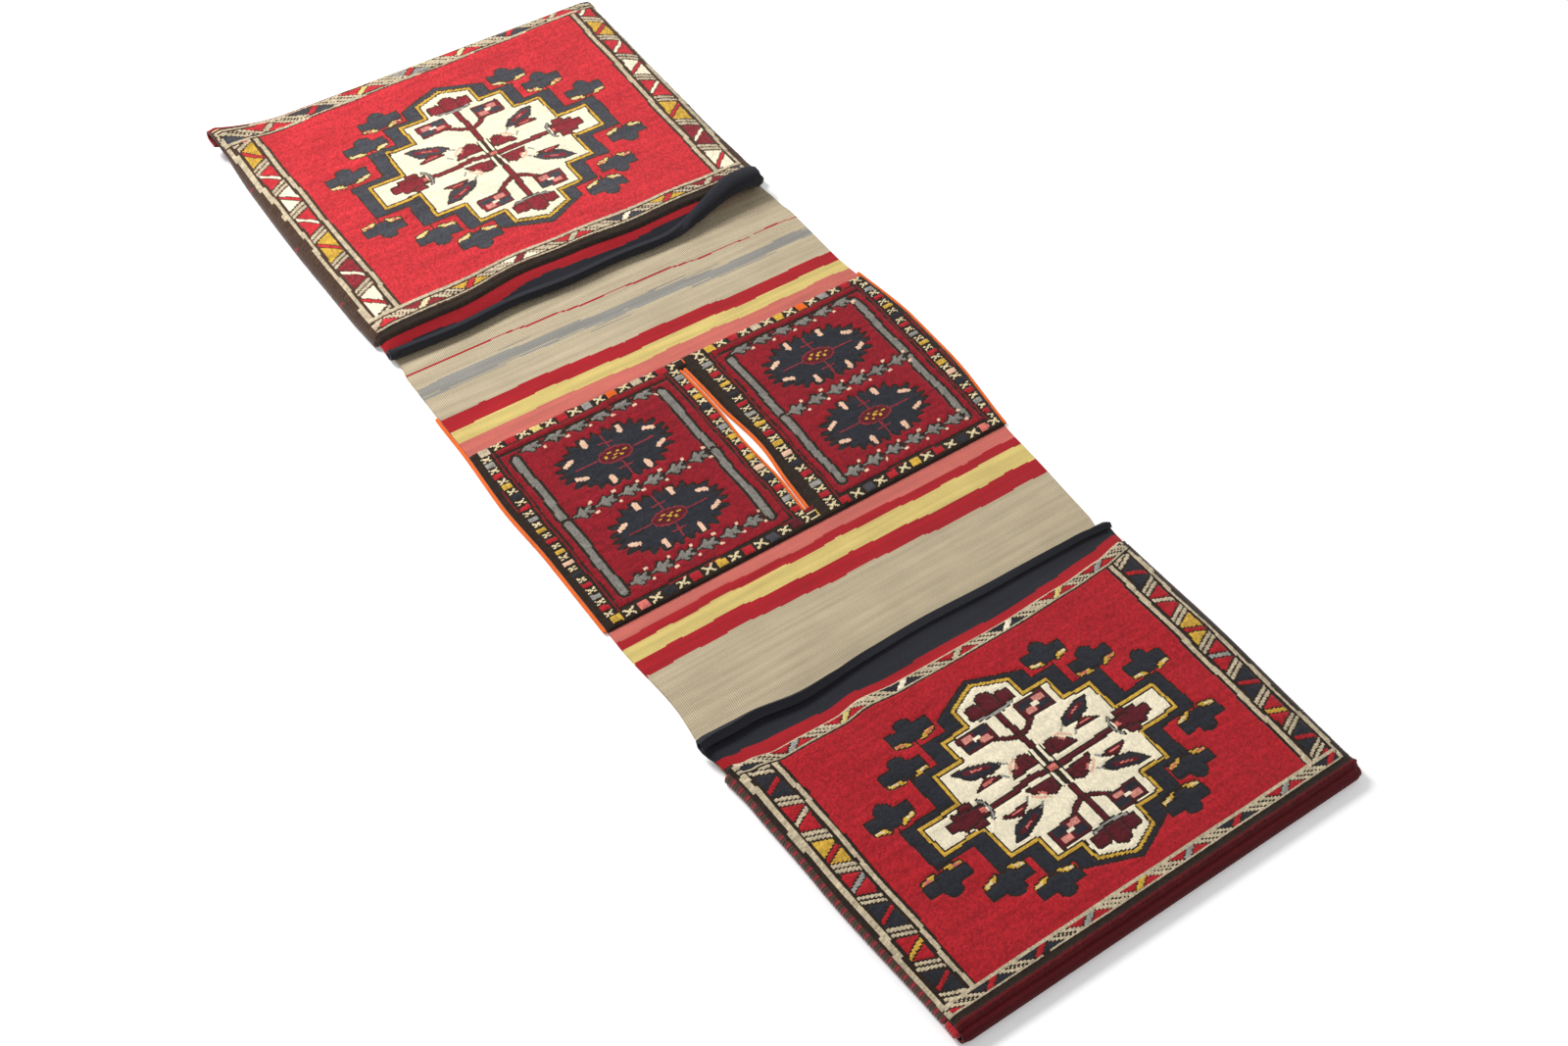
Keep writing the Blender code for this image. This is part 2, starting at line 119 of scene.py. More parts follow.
NEAR_HEM_TURN = 4.6
NEAR_HEM_RADIUS = 0.0031
NEAR_HEM_SWELL = 0.0020
# How far a pouch's piece goes on under its fold
TUCK = 0.012
RIM_ROOM = 0.0032
RIM_SAG = 0.0035
RIM_SAG_WIDTH = 0.028
FAR_BRIDGE_END = 0.335
NEAR_BRIDGE_END = -0.375
WRAP_HALF_WIDTH = 0.0055
WRAP_HALF_HEIGHT = 0.0064
WRAP_HEIGHT = 0.0070
WRAP_OUT = 0.0015
WRAP_PITCH = 0.0033
CORD_PITCH = 0.0022
CORD_ROOM = 0.0003
SEAM_START = 0.004
ROPE_SIDES = 12
ROPE_STEPS = 4
ROPE_TWIST = 0.35

CELL = 0.0016
COARSE = 4

DYES = {
    "madder": (0.40, 0.012, 0.019),
    # poppy is a lighter copy of madder, painted light on the far pouch
    "poppy": (0.53, 0.026, 0.034),
    "garnet": (0.245, 0.006, 0.014),
    "crimson": (0.21, 0.005, 0.010),
    # A darker copy of crimson: painted shade on the near pouch's fold
    "shaded_crimson": (0.105, 0.004, 0.007),
    "wine": (0.095, 0.008, 0.013),
    "brick": (0.24, 0.020, 0.028),
    "umber": (0.024, 0.014, 0.009),
    "bark": (0.066, 0.034, 0.021),
    "undyed": (0.52, 0.43, 0.29),
    "ivory": (0.86, 0.77, 0.57),
    "indigo": (0.020, 0.021, 0.028),
    # dusk is a lighter copy of indigo, painted light on the far pouch; the centre's squares use it
    # too
    "dusk": (0.055, 0.056, 0.066),
    "slate": (0.29, 0.28, 0.25),
    "ash": (0.20, 0.188, 0.165),
    "straw": (0.58, 0.35, 0.045),
    "pale_straw": (0.68, 0.53, 0.18),
    "cream": (0.70, 0.58, 0.34),
    "rose": (0.60, 0.15, 0.12),
    "salmon": (0.62, 0.24, 0.19),
    "blush": (0.76, 0.48, 0.33),
    "orange": (0.72, 0.12, 0.008),
}
DYE = {name: i for i, name in enumerate(DYES)}


def ease(t):
    t = np.clip(t, 0.0, 1.0)
    return t * t * (3.0 - 2.0 * t)


def swell(t):
    return np.where(np.abs(t) < 1.0, (1.0 - np.square(t)) ** 2, 0.0)


def between(value, low, high):
    return (value > low) & (value < high)


def inset_at(table, y):
    share = np.clip(2.0 * np.asarray(y) / LENGTH, -1.0, 1.0)
    inset = np.full(np.shape(share), table[-1][1])
    for (high, first), (low, second) in zip(table, table[1:]):
        here = second + (first - second) * ease((share - low) / (high - low))
        inset = np.where((share >= low) & (share <= high), here, inset)
    return inset


def cord_room(y):
    over = np.maximum(y - FAR_LIP, NEAR_LIP - y) + SEAM_PITCH
    return BINDING_WIDTH + (SEAM_WIDTH - BINDING_WIDTH) * ease(over / SEAM_PITCH)


def outline(side, y):
    return MIDDLE + side * (WIDTH / 2 - inset_at(LEFT_INSET if side < 0 else RIGHT_INSET, y))


def cloth_edge(side, y):
    return outline(side, y) - side * cord_room(y)


def slit_half(y):
    return SLIT_HALF + SLIT_OPEN / 2 * swell((y - SLIT_WIDEST) / SLIT_REACH)


def across(x, y):
    left, right = cloth_edge(-1, y), cloth_edge(1, y)
    return (left + right) / 2 + x / NOMINAL_HALF * (right - left) / 2


def ear(x, y):
    side = np.maximum(0.0, 1.0 - (x + NOMINAL_HALF) / EAR_REACH)
    end = np.clip(1.0 - (FOLD - y) / EAR_REACH, 0.0, 1.0)
    return EAR_LIFT * np.square(side * end)


def table_at(table, x):
    """A value from pairs of place and value, eased between the places."""
    value = np.full(np.shape(x), table[0][1])
    for (first, start), (second, end) in zip(table, table[1:]):
        here = start + (end - start) * ease((x - first) / (second - first))
        value = np.where(x >= first, here, value)
    return value


def mouth_shift(x, y):
    far = table_at(FAR_MOUTH_LINE, x) * ease(1.0 - (y - FAR_MOUTH) / MOUTH_REACH)
    near = table_at(NEAR_MOUTH_LINE, x) * ease(1.0 - (NEAR_MOUTH - y) / MOUTH_REACH)
    return np.where(y > 0.2, far, np.where(y < -0.2, near, 0.0))


def skew(x, y):
    far = ease((y - FAR_MOUTH) / (FOLD - FAR_MOUTH))
    near = ease((NEAR_MOUTH - y) / (FOLD + NEAR_MOUTH))
    over = x / NOMINAL_HALF
    return FAR_END_SKEW * over * far - (NEAR_END_REACH + NEAR_END_SKEW * over) * near


def pocket_gap(x):
    return POCKET_GAP - RIM_DROP * ease(1.0 - (NOMINAL_HALF - np.abs(x)) / RIM_WIDTH)


def upper_mid(x, y):
    return WEAVE + pocket_gap(x) + WEAVE / 2 + ear(x, y)


def far_flap(x, station):
    """Reach, rise and length along the far flap, whose rolled lip curls over at the right."""
    curl = ease((x - CURL_START) / (CURL_FULL - CURL_START))
    drop = pocket_gap(x) - FAR_LIP_GAP - 0.15 * FAR_ROLL_RADIUS
    reach = FAR_MOUTH + table_at(FAR_MOUTH_LINE, x) - table_at(FAR_LIP_LINE, x)
    plain = np.hypot(reach - 1.35 * FAR_ROLL_RADIUS - WEAVE / 2, drop)
    slope = -np.arcsin(drop / plain) * (1.0 - curl) + CURL_SLOPE * curl
    length = plain + FAR_ROLLED + (CURL_LENGTH - plain - FAR_ROLLED) * curl
    flat = plain * (1.0 - curl)
    radius = FAR_ROLL_RADIUS + (CURL_RADIUS - FAR_ROLL_RADIUS) * curl
    along = station / FLAP_TIP * (length + FAR_HEM)
    straight = np.minimum(along, flat)
    turned = slope + (along - straight) / radius
    out = straight * np.cos(slope) + radius * (np.sin(turned) - np.sin(slope))
    rise = straight * np.sin(slope) + radius * (np.cos(slope) - np.cos(turned))
    return out, rise, along


def roll_radius(x):
    """Radius of the near mouth's rolled hem, thickest at the left."""
    return NEAR_HEM_RADIUS + NEAR_HEM_SWELL * ease(-(x + 0.02) / 0.20)


def near_flap(x, station):
    """Reach, rise and length along the near flap, which ends in a rolled hem."""
    radius = roll_radius(x)
    reach = table_at(NEAR_LIP_LINE, x) - NEAR_MOUTH - table_at(NEAR_MOUTH_LINE, x)
    flat = reach - radius - WEAVE / 2
    along = station / FLAP_TIP * (flat + NEAR_HEM_TURN * radius)
    straight = np.minimum(along, flat)
    turn = (along - straight) / radius
    sag = -0.0016 * swell((straight / flat - 0.55) / 0.5)
    return straight + radius * np.sin(turn), radius * (1.0 - np.cos(turn)) + sag, along


def pouch_across(x, y):
    """World x on a pouch's upper cloth, whose rim nearly reaches the outline."""
    left, right = outline(-1, y) + RIM_ROOM, outline(1, y) - RIM_ROOM
    return (left + right) / 2 + x / NOMINAL_HALF * (right - left) / 2


def mouth_and_face(side):
    """Where a pouch's mouth lies along the bag, and the length of its face."""
    mouth = FAR_MOUTH if side > 0 else NEAR_MOUTH
    return mouth, FOLD - abs(mouth)


def pouch_place(x, s, side):
    """Places on a pouch's cloth, s along it from the mouth over the face and round the fold."""
    mouth, face = mouth_and_face(side)
    y = mouth + side * np.clip(s, 0.0, face)
    turn = np.clip((s - face) / FOLD_RADIUS, 0.0, math.pi)
    back = np.maximum(0.0, s - face - math.pi * FOLD_RADIUS)
    high, low = upper_mid(x, y), WEAVE / 2 + ear(x, y)
    radius = (high - low) / 2
    pull = ear(x, y) / EAR_LIFT
    along = y + skew(x, y) + mouth_shift(x, y) + side * (radius * np.sin(turn) - back)
    height = (high + low) / 2 + radius * np.cos(turn)
    reach, rise = (far_flap if side > 0 else near_flap)(x, np.maximum(0.0, -s))[:2]
    world = pouch_across(x, y) - EAR_PULL * pull
    if side > 0:
        world = world - CURL_INSET * ease((x - 0.12) / 0.125) * ease(-s / 0.012)
    else:
        tail = ease((-x - 0.19) / 0.055) * ease(-s / 0.03)
        world, along = world - 0.007 * tail, along - 0.003 * tail
    return np.stack([world, along + 0.4 * EAR_PULL * pull - side * reach, height + rise], axis=-1)


def floor_place(x, y):
    """Places on the layer that lies on the floor."""
    half = slit_half(y)
    inner = across(0.0, y) + np.sign(x) * half
    beyond = (np.abs(x) - SLIT_HALF) / (NOMINAL_HALF - SLIT_HALF)
    edge = np.where(x < 0, cloth_edge(-1, y), cloth_edge(1, y))
    inside = across(0.0, y) + x / SLIT_HALF * half
    world = np.where(beyond >= 0.0, inner + (edge - inner) * beyond, inside)
    return np.stack([world, y + skew(x, y), WEAVE / 2 + ear(x, y)], axis=-1)


class Pattern:
    """Dyes over a field of places u across and v along, in millimetres, painted by shapes."""

    def __init__(self, u, v, ground):
        self.u, self.v = u, v
        self.dye = np.full(u.shape, DYE[ground], dtype=np.int32)

    def put(self, where, dye):
        self.dye[where] = DYE[dye]

    def box(self, left, right, low, high, dye):
        self.put((self.u >= left) & (self.u < right) & (self.v >= low) & (self.v < high), dye)

    def near_box(self, points, margin):
        us, vs = [p[0] for p in points], [p[1] for p in points]
        return np.nonzero(between(self.u, min(us) - margin, max(us) + margin)
                          & between(self.v, min(vs) - margin, max(vs) + margin))

    def distance(self, points, where, closed):
        u, v = self.u[where], self.v[where]
        best = np.full(u.shape, 1e9)
        ends = points[1:] + points[:1] if closed else points[1:]
        for (u0, v0), (u1, v1) in zip(points, ends):
            du, dv = u1 - u0, v1 - v0
            t = np.clip(((u - u0) * du + (v - v0) * dv) / max(1e-9, du * du + dv * dv), 0, 1)
            best = np.minimum(best, np.hypot(u - u0 - t * du, v - v0 - t * dv))
        return best

    def inside(self, points, where):
        u, v = self.u[where], self.v[where]
        odd = np.zeros(u.shape, dtype=bool)
        for (u0, v0), (u1, v1) in zip(points, points[1:] + points[:1]):
            if v0 != v1:
                odd ^= ((v0 > v) != (v1 > v)) & (u < (u1 - u0) * (v - v0) / (v1 - v0) + u0)
        return odd

    def put_at(self, where, chosen, dye):
        self.dye[where[0][chosen], where[1][chosen]] = DYE[dye]

    def line(self, points, *bands, closed=False):
        """Bands over one another along the same points, each with its width and dye."""
        for width, dye in bands:
            where = self.near_box(points, width)
            self.put_at(where, self.distance(points, where, closed) <= width / 2, dye)

    def shape(self, points, dye, edge=0.0, edge_dye="umber"):
        where = self.near_box(points, edge + 1.0)
        inside = self.inside(points, where)
        if edge:
            self.put_at(where, (self.distance(points, where, True) <= edge) & ~inside, edge_dye)
        self.put_at(where, inside, dye)


def placed(points, u, v, flip_u=1, flip_v=1):
    """Points moved to (u, v), mirrored first."""
    return [(u + flip_u * a, v + flip_v * b) for a, b in points]


def mirrored_ring(quarter):
    """A closed outline from its points in the first quarter, from the top round to the right."""
    right = quarter + [(a, -b) for a, b in quarter[::-1]]
    return right + [(-a, b) for a, b in right[::-1]]


# The medallions' stepped outlines, and the flowers along them
NEAR_INNER = [
    (0, 111), (35, 96.3), (35, 76.3), (64.7, 76.3), (64.7, 51.5), (98.3, 51.5), (98.3, 16.3),
    (145.3, 16.3)]
NEAR_OUTER = [
    (0, 117.5), (52.6, 95.5), (52.6, 84), (83, 84), (83, 59.3), (117.5, 59.3), (117.5, 23.5),
    (161, 23.5)]
FAR_INNER = [
    (0, 119.3), (35, 107), (35, 86.3), (66.5, 86.3), (66.5, 56.3), (101.5, 56.3), (101.5, 18.5),
    (142.6, 18.5)]
FAR_OUTER = [
    (0, 127.5), (52.3, 107), (52.3, 91.6), (83.7, 91.6), (83.7, 63), (119.7, 63), (119.7, 26.5),
    (159, 26.5)]
NEAR_FLOWERS = [
    (-82.7, 103), (83.9, 101.4), (-116.4, 73), (117.8, 71.4), (-160.3, 41.4), (160.3, 39.7),
    (-160.9, -38.6), (158.1, -38.6), (-115.8, -70.3), (111.8, -72), (-81, -97), (78.3, -97)]
FAR_FLOWERS = [
    (-81.5, 107.5), (87, 108.5), (-114.4, 78.5), (119.8, 80.2), (-154.7, 45.2), (157.7, 43.5),
    (-158.9, -45.8), (159.4, -44.8), (-115.4, -83.8), (119.8, -83.2), (-80, -110.5), (87, -109.8)]
CROWN = [
    (-24, 5), (-24, -5), (-9, -6), (-7, -10), (7, -10), (9, -6), (24, -5), (24, 5), (9, 5),
    (8, 11), (3, 14), (-3, 14), (-8, 11), (-9, 5)]
CRESCENT = [(8, -11.0), (14, -9.5), (21, -8.0)]
PALMETTE = [
    (12, -6), (19, -6), (19, -13), (31, -14), (33, -9), (42, -10), (43, -5), (53, -4), (53, 4),
    (43, 5), (42, 10), (33, 9), (31, 14), (19, 13), (19, 6), (12, 6)]
PALMETTE_ARC = [(11, -11), (7, -6), (6, 0), (7, 6), (11, 11)]
LEAF = [(-83, 43), (-68, 42), (-46, 34), (-39, 27), (-52, 25), (-72, 30)]
BUD = [(-75, 17), (-60, 24), (-47, 17)]
TULIP = [(-8, 10), (-11, 21), (-18, 24), (-25, 21), (-24, 17), (-34, 14), (-38, 8), (-26, 9)]
LOBES = [
    (-26, -5), (-26, 5), (-15, 7), (-10, 4), (-8, 11), (0, 14), (8, 11), (10, 4), (15, 7), (26, 5),
    (26, -5), (12, -7), (-12, -7)]
LOBES_ARC = [(-20, -8), (-8, -10), (8, -10), (20, -8)]
TULIP_STROKES = [([(-14, 12), (-18, 21)], 1.6, "umber"),
                 ([(-38, 15), (-33, 21), (-26, 24)], 3.0, "blush"),
                 ([(-30, 16), (-27, 19)], 3.0, "rose"), ([(-42, 13), (-46, 17)], 2.2, "slate"),
                 ([(-34, 24), (-40, 28)], 2.0, "slate")]
# Each pouch's medallion: its outlines, its flowers and their petals' dye, and the tree's stretch
MEDALLIONS = {1: (FAR_INNER, FAR_OUTER, FAR_FLOWERS, "pale_straw", 1.10),
              -1: (NEAR_INNER, NEAR_OUTER, NEAR_FLOWERS, "straw", 1.0)}


def paint_medallion(p, side):
    """A stepped ivory field in a dark band, with twelve flowers round it and a tree in it."""
    inner, outer, flowers, petal_dye, stretch = MEDALLIONS[side]
    inner = mirrored_ring(inner)
    p.shape(mirrored_ring(outer), "indigo", 1.8)
    p.shape(inner, "ivory")
    p.line(inner, (6.4, "umber"), (3.1, "straw"), closed=True)
    for i, (u, v) in enumerate(flowers):
        up = 1 if v > 0 else -1
        p.line(placed([(0, -10), (0, -18)], u, v, 1, up), (1.8, "umber"))
        for hand in (-1, 1):
            petal = placed(CRESCENT, u, v, hand, up)
            p.line(petal, (7.4, "umber"), (4.4, petal_dye))
            p.line(petal[1:], (2.2, "cream" if i % 3 else "rose"))
        p.shape(placed(CROWN, u, v, 1, up), "indigo", 1.6)
    paint_tree(p, stretch)


def paint_tree(p, stretch):
    """The flowering tree inside the medallion."""
    for side in (-1, 1):
        arm = [(side * 6, -2), (side * 26, -side), (side * 50, -2), (side * 75, -1)]
        p.line(arm, (7.0, "umber"), (3.6, "wine"))
        p.shape(placed(PALMETTE, side * 71, 0, side), "wine", 1.8)
        for up in (1, -1):
            p.line(placed([(12, 5), (36, 9)], side * 71, 0, side, up), (1.6, "umber"))
        p.line(placed(PALMETTE_ARC, side * 71, 0, side), (4.6, "umber"), (2.2, "slate"))
        p.box(*sorted((side * 81, side * 87)), -2.5, 2.5, "rose")
    p.line([(0, -86 * stretch), (0, 88 * stretch)], (8.6, "umber"), (4.8, "wine"))
    p.box(-8, 8, -24, 24, "umber")
    for side in (-1, 1):
        p.box(side * 4.6 - 1.7, side * 4.6 + 1.7, -24, 24, "ivory")
    p.shape([(-4.5, -3.5), (5.5, -3.5), (5.5, 1.8), (-4.5, 1.8)], "rose", 1.8)
    for up in (1, -1):
        v = up * 84 * stretch
        p.shape(placed(LOBES, 0, v, 1, up), "wine", 1.8)
        for side in (-1, 1):
            p.line(placed([(side * 10, -6), (side * 10, 4)], 0, v, 1, up), (1.6, "umber"))
        p.line(placed(LOBES_ARC, 0, v, 1, up), (4.6, "umber"), (2.4, "slate"))
    for side in (-1, 1):
        for up in (-1, 1):
            paint_quarter(p, side, up, stretch)


def paint_quarter(p, side, up, stretch):
    """A quarter of the tree: a branch with its square flower, a leaf, a bud and a tulip."""
    branch = placed([(4, 42), (14, 46), (26, 54)], 0, 0, side, up * stretch)
    p.line(branch, (6.2, "umber"), (3.0, "wine"))
    u, v = side * 36, up * 61.5 * stretch
    p.shape([(u - 17, v - 9), (u + 17, v - 9), (u + 17, v + 9), (u - 17, v + 9)], "wine", 1.6)
    for hand in (-1, 1):
        over = hand * side * up
        p.box(*sorted((u + hand * 1.5, u + hand * 13)), *sorted((v + over, v + over * 7)), "salmon")
        p.box(*sorted((u + hand, u + hand * 16)), *sorted((v - over * 0.5, v - over * 8)), "indigo")
    p.box(u - 4.0, u + 4.0, v - 1.8, v + 1.8, "ivory")
    leaf = (0, 0, -side, up * stretch)
    p.shape(placed(LEAF, *leaf), "indigo", 1.6)
    p.line(placed([(-72, 38), (-60, 35), (-50, 31)], *leaf), (4.4, "wine"))
    p.line(placed([(-66, 36.5), (-56, 33)], *leaf), (1.6, "rose"))
    bud = (0, (stretch - 1.0) * 75 * up, -side, up)
    p.shape(placed(BUD, *bud), "wine", 1.6)
    p.line(placed([(-66, 19), (-55, 19)], *bud), (2.0, "rose"))
    p.shape(placed(TULIP, 0, 0, -side, up), "wine", 1.8)
    for points, width, dye in TULIP_STROKES:
        p.line(placed(points, 0, 0, -side, up), (width, dye))


def blocks_of(text):
    """A border's blocks from words: the middle of each, its fill and its bar."""
    return [(float(middle), fill, bar) for middle, fill, bar in map(str.split, text.split(","))]


# Blocks of the side borders, whose middles lie along the bag
NEAR_SIDE_BLOCKS = blocks_of("""
    -370 indigo madder, -410 madder undyed, -454 straw madder, -490 madder slate,
    -529 indigo madder, -568 madder straw, -604 indigo madder, -638 madder undyed,
    -674 indigo madder""")
FAR_SIDE_BLOCKS = blocks_of("""
    637 madder ivory, 597 straw madder, 559 madder ivory, 517 ivory madder, 477 madder ivory,
    431 straw madder, 383 brick ivory, 336 ivory madder, 292 madder ivory""")
# Blocks of the end borders, whose middles lie across the bag
NEAR_TOP_BLOCKS = blocks_of("""
    -246 indigo ivory, -188 madder slate, -127 madder pale_straw, -59 indigo ivory,
    9 madder undyed, 73 indigo ivory, 142 madder pale_straw, 200 madder slate, 258 indigo madder""")
NEAR_END_BLOCKS = blocks_of("""
    -243 madder straw, -186 indigo madder, -130 indigo madder, -73 madder slate, -10 madder straw,
    50 madder slate, 113 indigo madder, 176 madder slate, 238 indigo madder""")
FAR_END_BLOCKS = blocks_of("""
    -257 indigo madder, -200 madder undyed, -143 indigo madder, -78 madder pale_straw,
    -14 slate madder, 56 madder cream, 126 indigo madder, 190 madder undyed, 248 indigo madder""")
FAR_TOP_BLOCKS = blocks_of("""
    -247 madder undyed, -190 brick cream, -132 straw madder, -66 ivory brick, 2 madder undyed,
    70 indigo ivory, 128 straw madder, 185 brick undyed, 243 indigo ivory""")

# Across a side border, from the field outwards: a rail, the band of blocks and a second rail
INNER_RAIL = (3.2, 8.6)
SIDE_BAND = 11.8
SIDE_MAIN = 22.0
OUTER_RAIL = 36.4
SIDE_WIDTH = 40.4
# How far the blocks and their bars slant, and half an end block's width
SIDE_SLANT = 0.44
SIDE_BAR_SLANT = {1: 0.42, -1: 0.80}
END_HALF = 15.0
END_SLANT = 2.1
END_BAR_SLANT = 1.4


def paint_side_border(p, out, y, blocks, lean):
    """A side border: out is how far a place lies outside the field, and y its place along."""
    p.put(out > 0.0, "umber")
    p.put(between(out, *INNER_RAIL), "undyed")
    p.put(between(out, OUTER_RAIL, SIDE_WIDTH), "undyed")
    w = out - SIDE_BAND - SIDE_MAIN / 2
    main = np.abs(w) < SIDE_MAIN / 2
    slanted = y - lean * SIDE_SLANT * w
    middles_ = [block[0] for block in blocks]
    for i, (middle, fill, bar) in enumerate(blocks):
        reach = abs(middles_[max(1, i)] - middles_[max(1, i) - 1]) / 2 + 4.0
        block = main & (np.abs(slanted - middle) < reach)
        p.put(block, fill)
        off = np.abs(y - middle + lean * SIDE_BAR_SLANT[lean] * w)
        p.put(block & (off < 3.8), "umber")
        p.put(block & (off < 2.2), bar)
    p.put(main & (np.abs(w) > SIDE_MAIN / 2 - 1.3), "umber")
    gaps = [(a + b) / 2 for a, b in zip(middles_, middles_[1:])]
    gaps += [middles_[0] + (middles_[0] - gaps[0]), middles_[-1] + (middles_[-1] - gaps[-1])]
    for gap in gaps:
        off = np.abs(slanted - gap)
        p.put(main & (off < 6.8), "undyed")
        p.put(main & ((off < 1.0) | between(off, 4.6, 6.8)), "umber")
    beyond = (slanted > max(gaps) + 5.0) | (slanted < min(gaps) - 5.0)
    p.put(main & beyond, "undyed")


def paint_end_border(p, across_, depth, height, rail, blocks, lean):
    """A border across the cloth: depth is how far it is into the border from one long side."""
    whole = height + 2 * rail
    p.put((depth >= -1.4) & (depth < whole + 1.4), "umber")
    p.put((depth >= 0.0) & (depth < rail), "undyed")
    p.put((depth >= rail + height) & (depth < whole), "undyed")
    b = (depth - rail - height / 2) * lean
    main = np.abs(b) < height / 2
    p.put(main, "undyed")
    for middle, fill, bar in blocks:
        t = np.abs(across_ - middle - END_SLANT * b)
        for low, high in ((END_HALF, 17.4), (24.6, 27.4)):
            p.put(main & between(t, low, high), "umber")
        block = main & (t < END_HALF)
        p.put(block, fill)
        off = np.abs(across_ - middle + END_BAR_SLANT * b)
        p.put(block & (off < 6.6), "umber")
        p.put(block & (off < 4.4), bar)
    p.put(main & (np.abs(b) > height / 2 - 0.8), "umber")


# Lighter copies of the far pouch's dyes: painted light and sheen, so the far pouch is painted
# brighter than the near one
FAR_LIT_DYES = {"indigo": "dusk", "umber": "bark", "wine": "brick", "madder": "poppy"}
# Where each field ends at its sides, with how far that edge leans
FIELD_EDGES = {(1, -1): (-213.3, -0.0116), (1, 1): (200.2, 0.025), (-1, -1): (-201.7, -0.0333),
               (-1, 1): (208.7, -0.025)}
FIELD_MIDDLES = {1: 470, -1: -500}
# The middle of each medallion, and how the two differ in scale and lean
FAR_FIELD = (-0.004, 0.4715)
NEAR_FIELD = (0.0032, -0.4947)
SIDE_SCALE = {-1: 1.09, 1: 1.03}
NEAR_SHEAR = 0.070
FAR_LEFT_SCALE = 1.034
FAR_RIGHT_SCALE = 0.966


def paint_face(x, s, side):
    """Dyes of a pouch's cloth, from the tip of its flap over the face and round the fold."""
    mouth, face = mouth_and_face(side)
    y = mouth + side * np.clip(s, 0.0, face)
    real = y + skew(x, y) + mouth_shift(x, y)
    world = pouch_across(x, y)
    wander = 0.7 * np.sin(world * 71.0 + real * 13.0) + 0.6 * np.sin(real * 83.0 + world * 17.0)
    u0, v0 = FAR_FIELD if side > 0 else NEAR_FIELD
    u, v = (world - u0) * 1000, (real - v0) * 1000
    if side > 0:
        u = u / np.where(u < 0, FAR_LEFT_SCALE, FAR_RIGHT_SCALE)
    else:
        u = u + NEAR_SHEAR * v
    p = Pattern(u + wander, v + 0.8 * wander, "madder")
    paint_medallion(p, side)
    from_mouth, from_fold = s * 1000, (face - s) * 1000
    across_ = world * 1000
    if side > 0:
        far_edge = 19.5 - 22.0 * x
        paint_end_border(p, across_, far_edge - 1.5 - from_fold, 14.0, 2.5, FAR_END_BLOCKS, -1)
        p.put(far_edge - 1.5 - from_fold > 20.4, "pale_straw")
        paint_end_border(p, across_, 26.0 - from_mouth, 11.0, 2.5, FAR_TOP_BLOCKS, 1)
        p.put(from_mouth < 10.0 + wander, "umber")
        framed = (from_mouth > 27.5) & (from_fold > far_edge)
        pile_end = 22.6 - far_edge + 1.5
    else:
        paint_end_border(p, across_, from_mouth, 8.6, 2.0, NEAR_TOP_BLOCKS, 1)
        paint_end_border(p, across_, 25.6 - from_fold, 8.4, 2.0, NEAR_END_BLOCKS, 1)
        p.put(from_fold < 13.2 + wander, "umber")
        framed = (from_mouth > 13.8) & (from_fold > 27.0)
        pile_end = -8.0
    for hand in (-1, 1):
        edge, slope = FIELD_EDGES[(side, hand)]
        edge = edge + slope * (real * 1000 - FIELD_MIDDLES[side])
        out = hand * (across_ - edge) * SIDE_SCALE[hand] + wander
        out = np.where(np.sign(x) == hand, out, -99.0)
        border = Pattern(u, v, "madder")
        paint_side_border(border, out, real * 1000,
                          FAR_SIDE_BLOCKS if side > 0 else NEAR_SIDE_BLOCKS, -side)
        p.dye[(out > 0) & framed] = border.dye[(out > 0) & framed]
        corner = (out > 36.0) & ~framed & (p.dye != DYE["umber"])
        p.put(corner & (out < SIDE_WIDTH), "undyed")
        p.put(out >= SIDE_WIDTH, "umber")
    if side > 0:
        # Painted light: the far pouch's indigo, umber, wine and madder are swapped for their
        # lighter copies
        for dark, lit_dye in FAR_LIT_DYES.items():
            p.put(p.dye == DYE[dark], lit_dye)
        p.put(from_mouth < 10.0 + wander, "umber")
    # The flat weave round the fold is real red cloth painted darker than the flap's red: painted
    # shade on the side turned from the lamp, crimson on the far pouch and a still darker red on the
    # near one
    p.put(-from_fold > pile_end, "crimson" if side > 0 else "shaded_crimson")
    flap = s < 0.0
    along = (far_flap if side > 0 else near_flap)(x, np.maximum(0.0, -s))[2] * 1000
    if side > 0:
        red = 11.5 + 2.5 * swell((x + 0.13) / 0.07) - 3.0 * ease((x + 0.02) / 0.12) \
            + 1.2 * np.sin(x * 41.0)
    else:
        red = 10.5 + 4.5 * swell((x + 0.20) / 0.08) + 1.2 * np.sin(x * 37.0 + 1.0)
    p.put(flap, "indigo")
    p.put(flap & (along < red), "madder")
    return p.dye


# Stripes of the flat weave: where each begins at the left and at the right, and its dye
FAR_STRIPES = [
    (0.300, 0.300, "undyed"), (0.2437, 0.2302, "madder"), (0.2417, 0.2282, "undyed"),
    (0.2220, 0.2090, "slate"), (0.2060, 0.1960, "undyed"), (0.1722, 0.1640, "madder"),
    (0.1533, 0.1480, "pale_straw"), (0.1363, 0.1320, "rose"), (0.1150, 0.1150, "crimson")]
NEAR_STRIPES = [
    (-0.1300, -0.1300, "rose"), (-0.1532, -0.1590, "madder"), (-0.1631, -0.1690, "pale_straw"),
    (-0.1811, -0.1930, "madder"), (-0.2000, -0.2140, "undyed")]


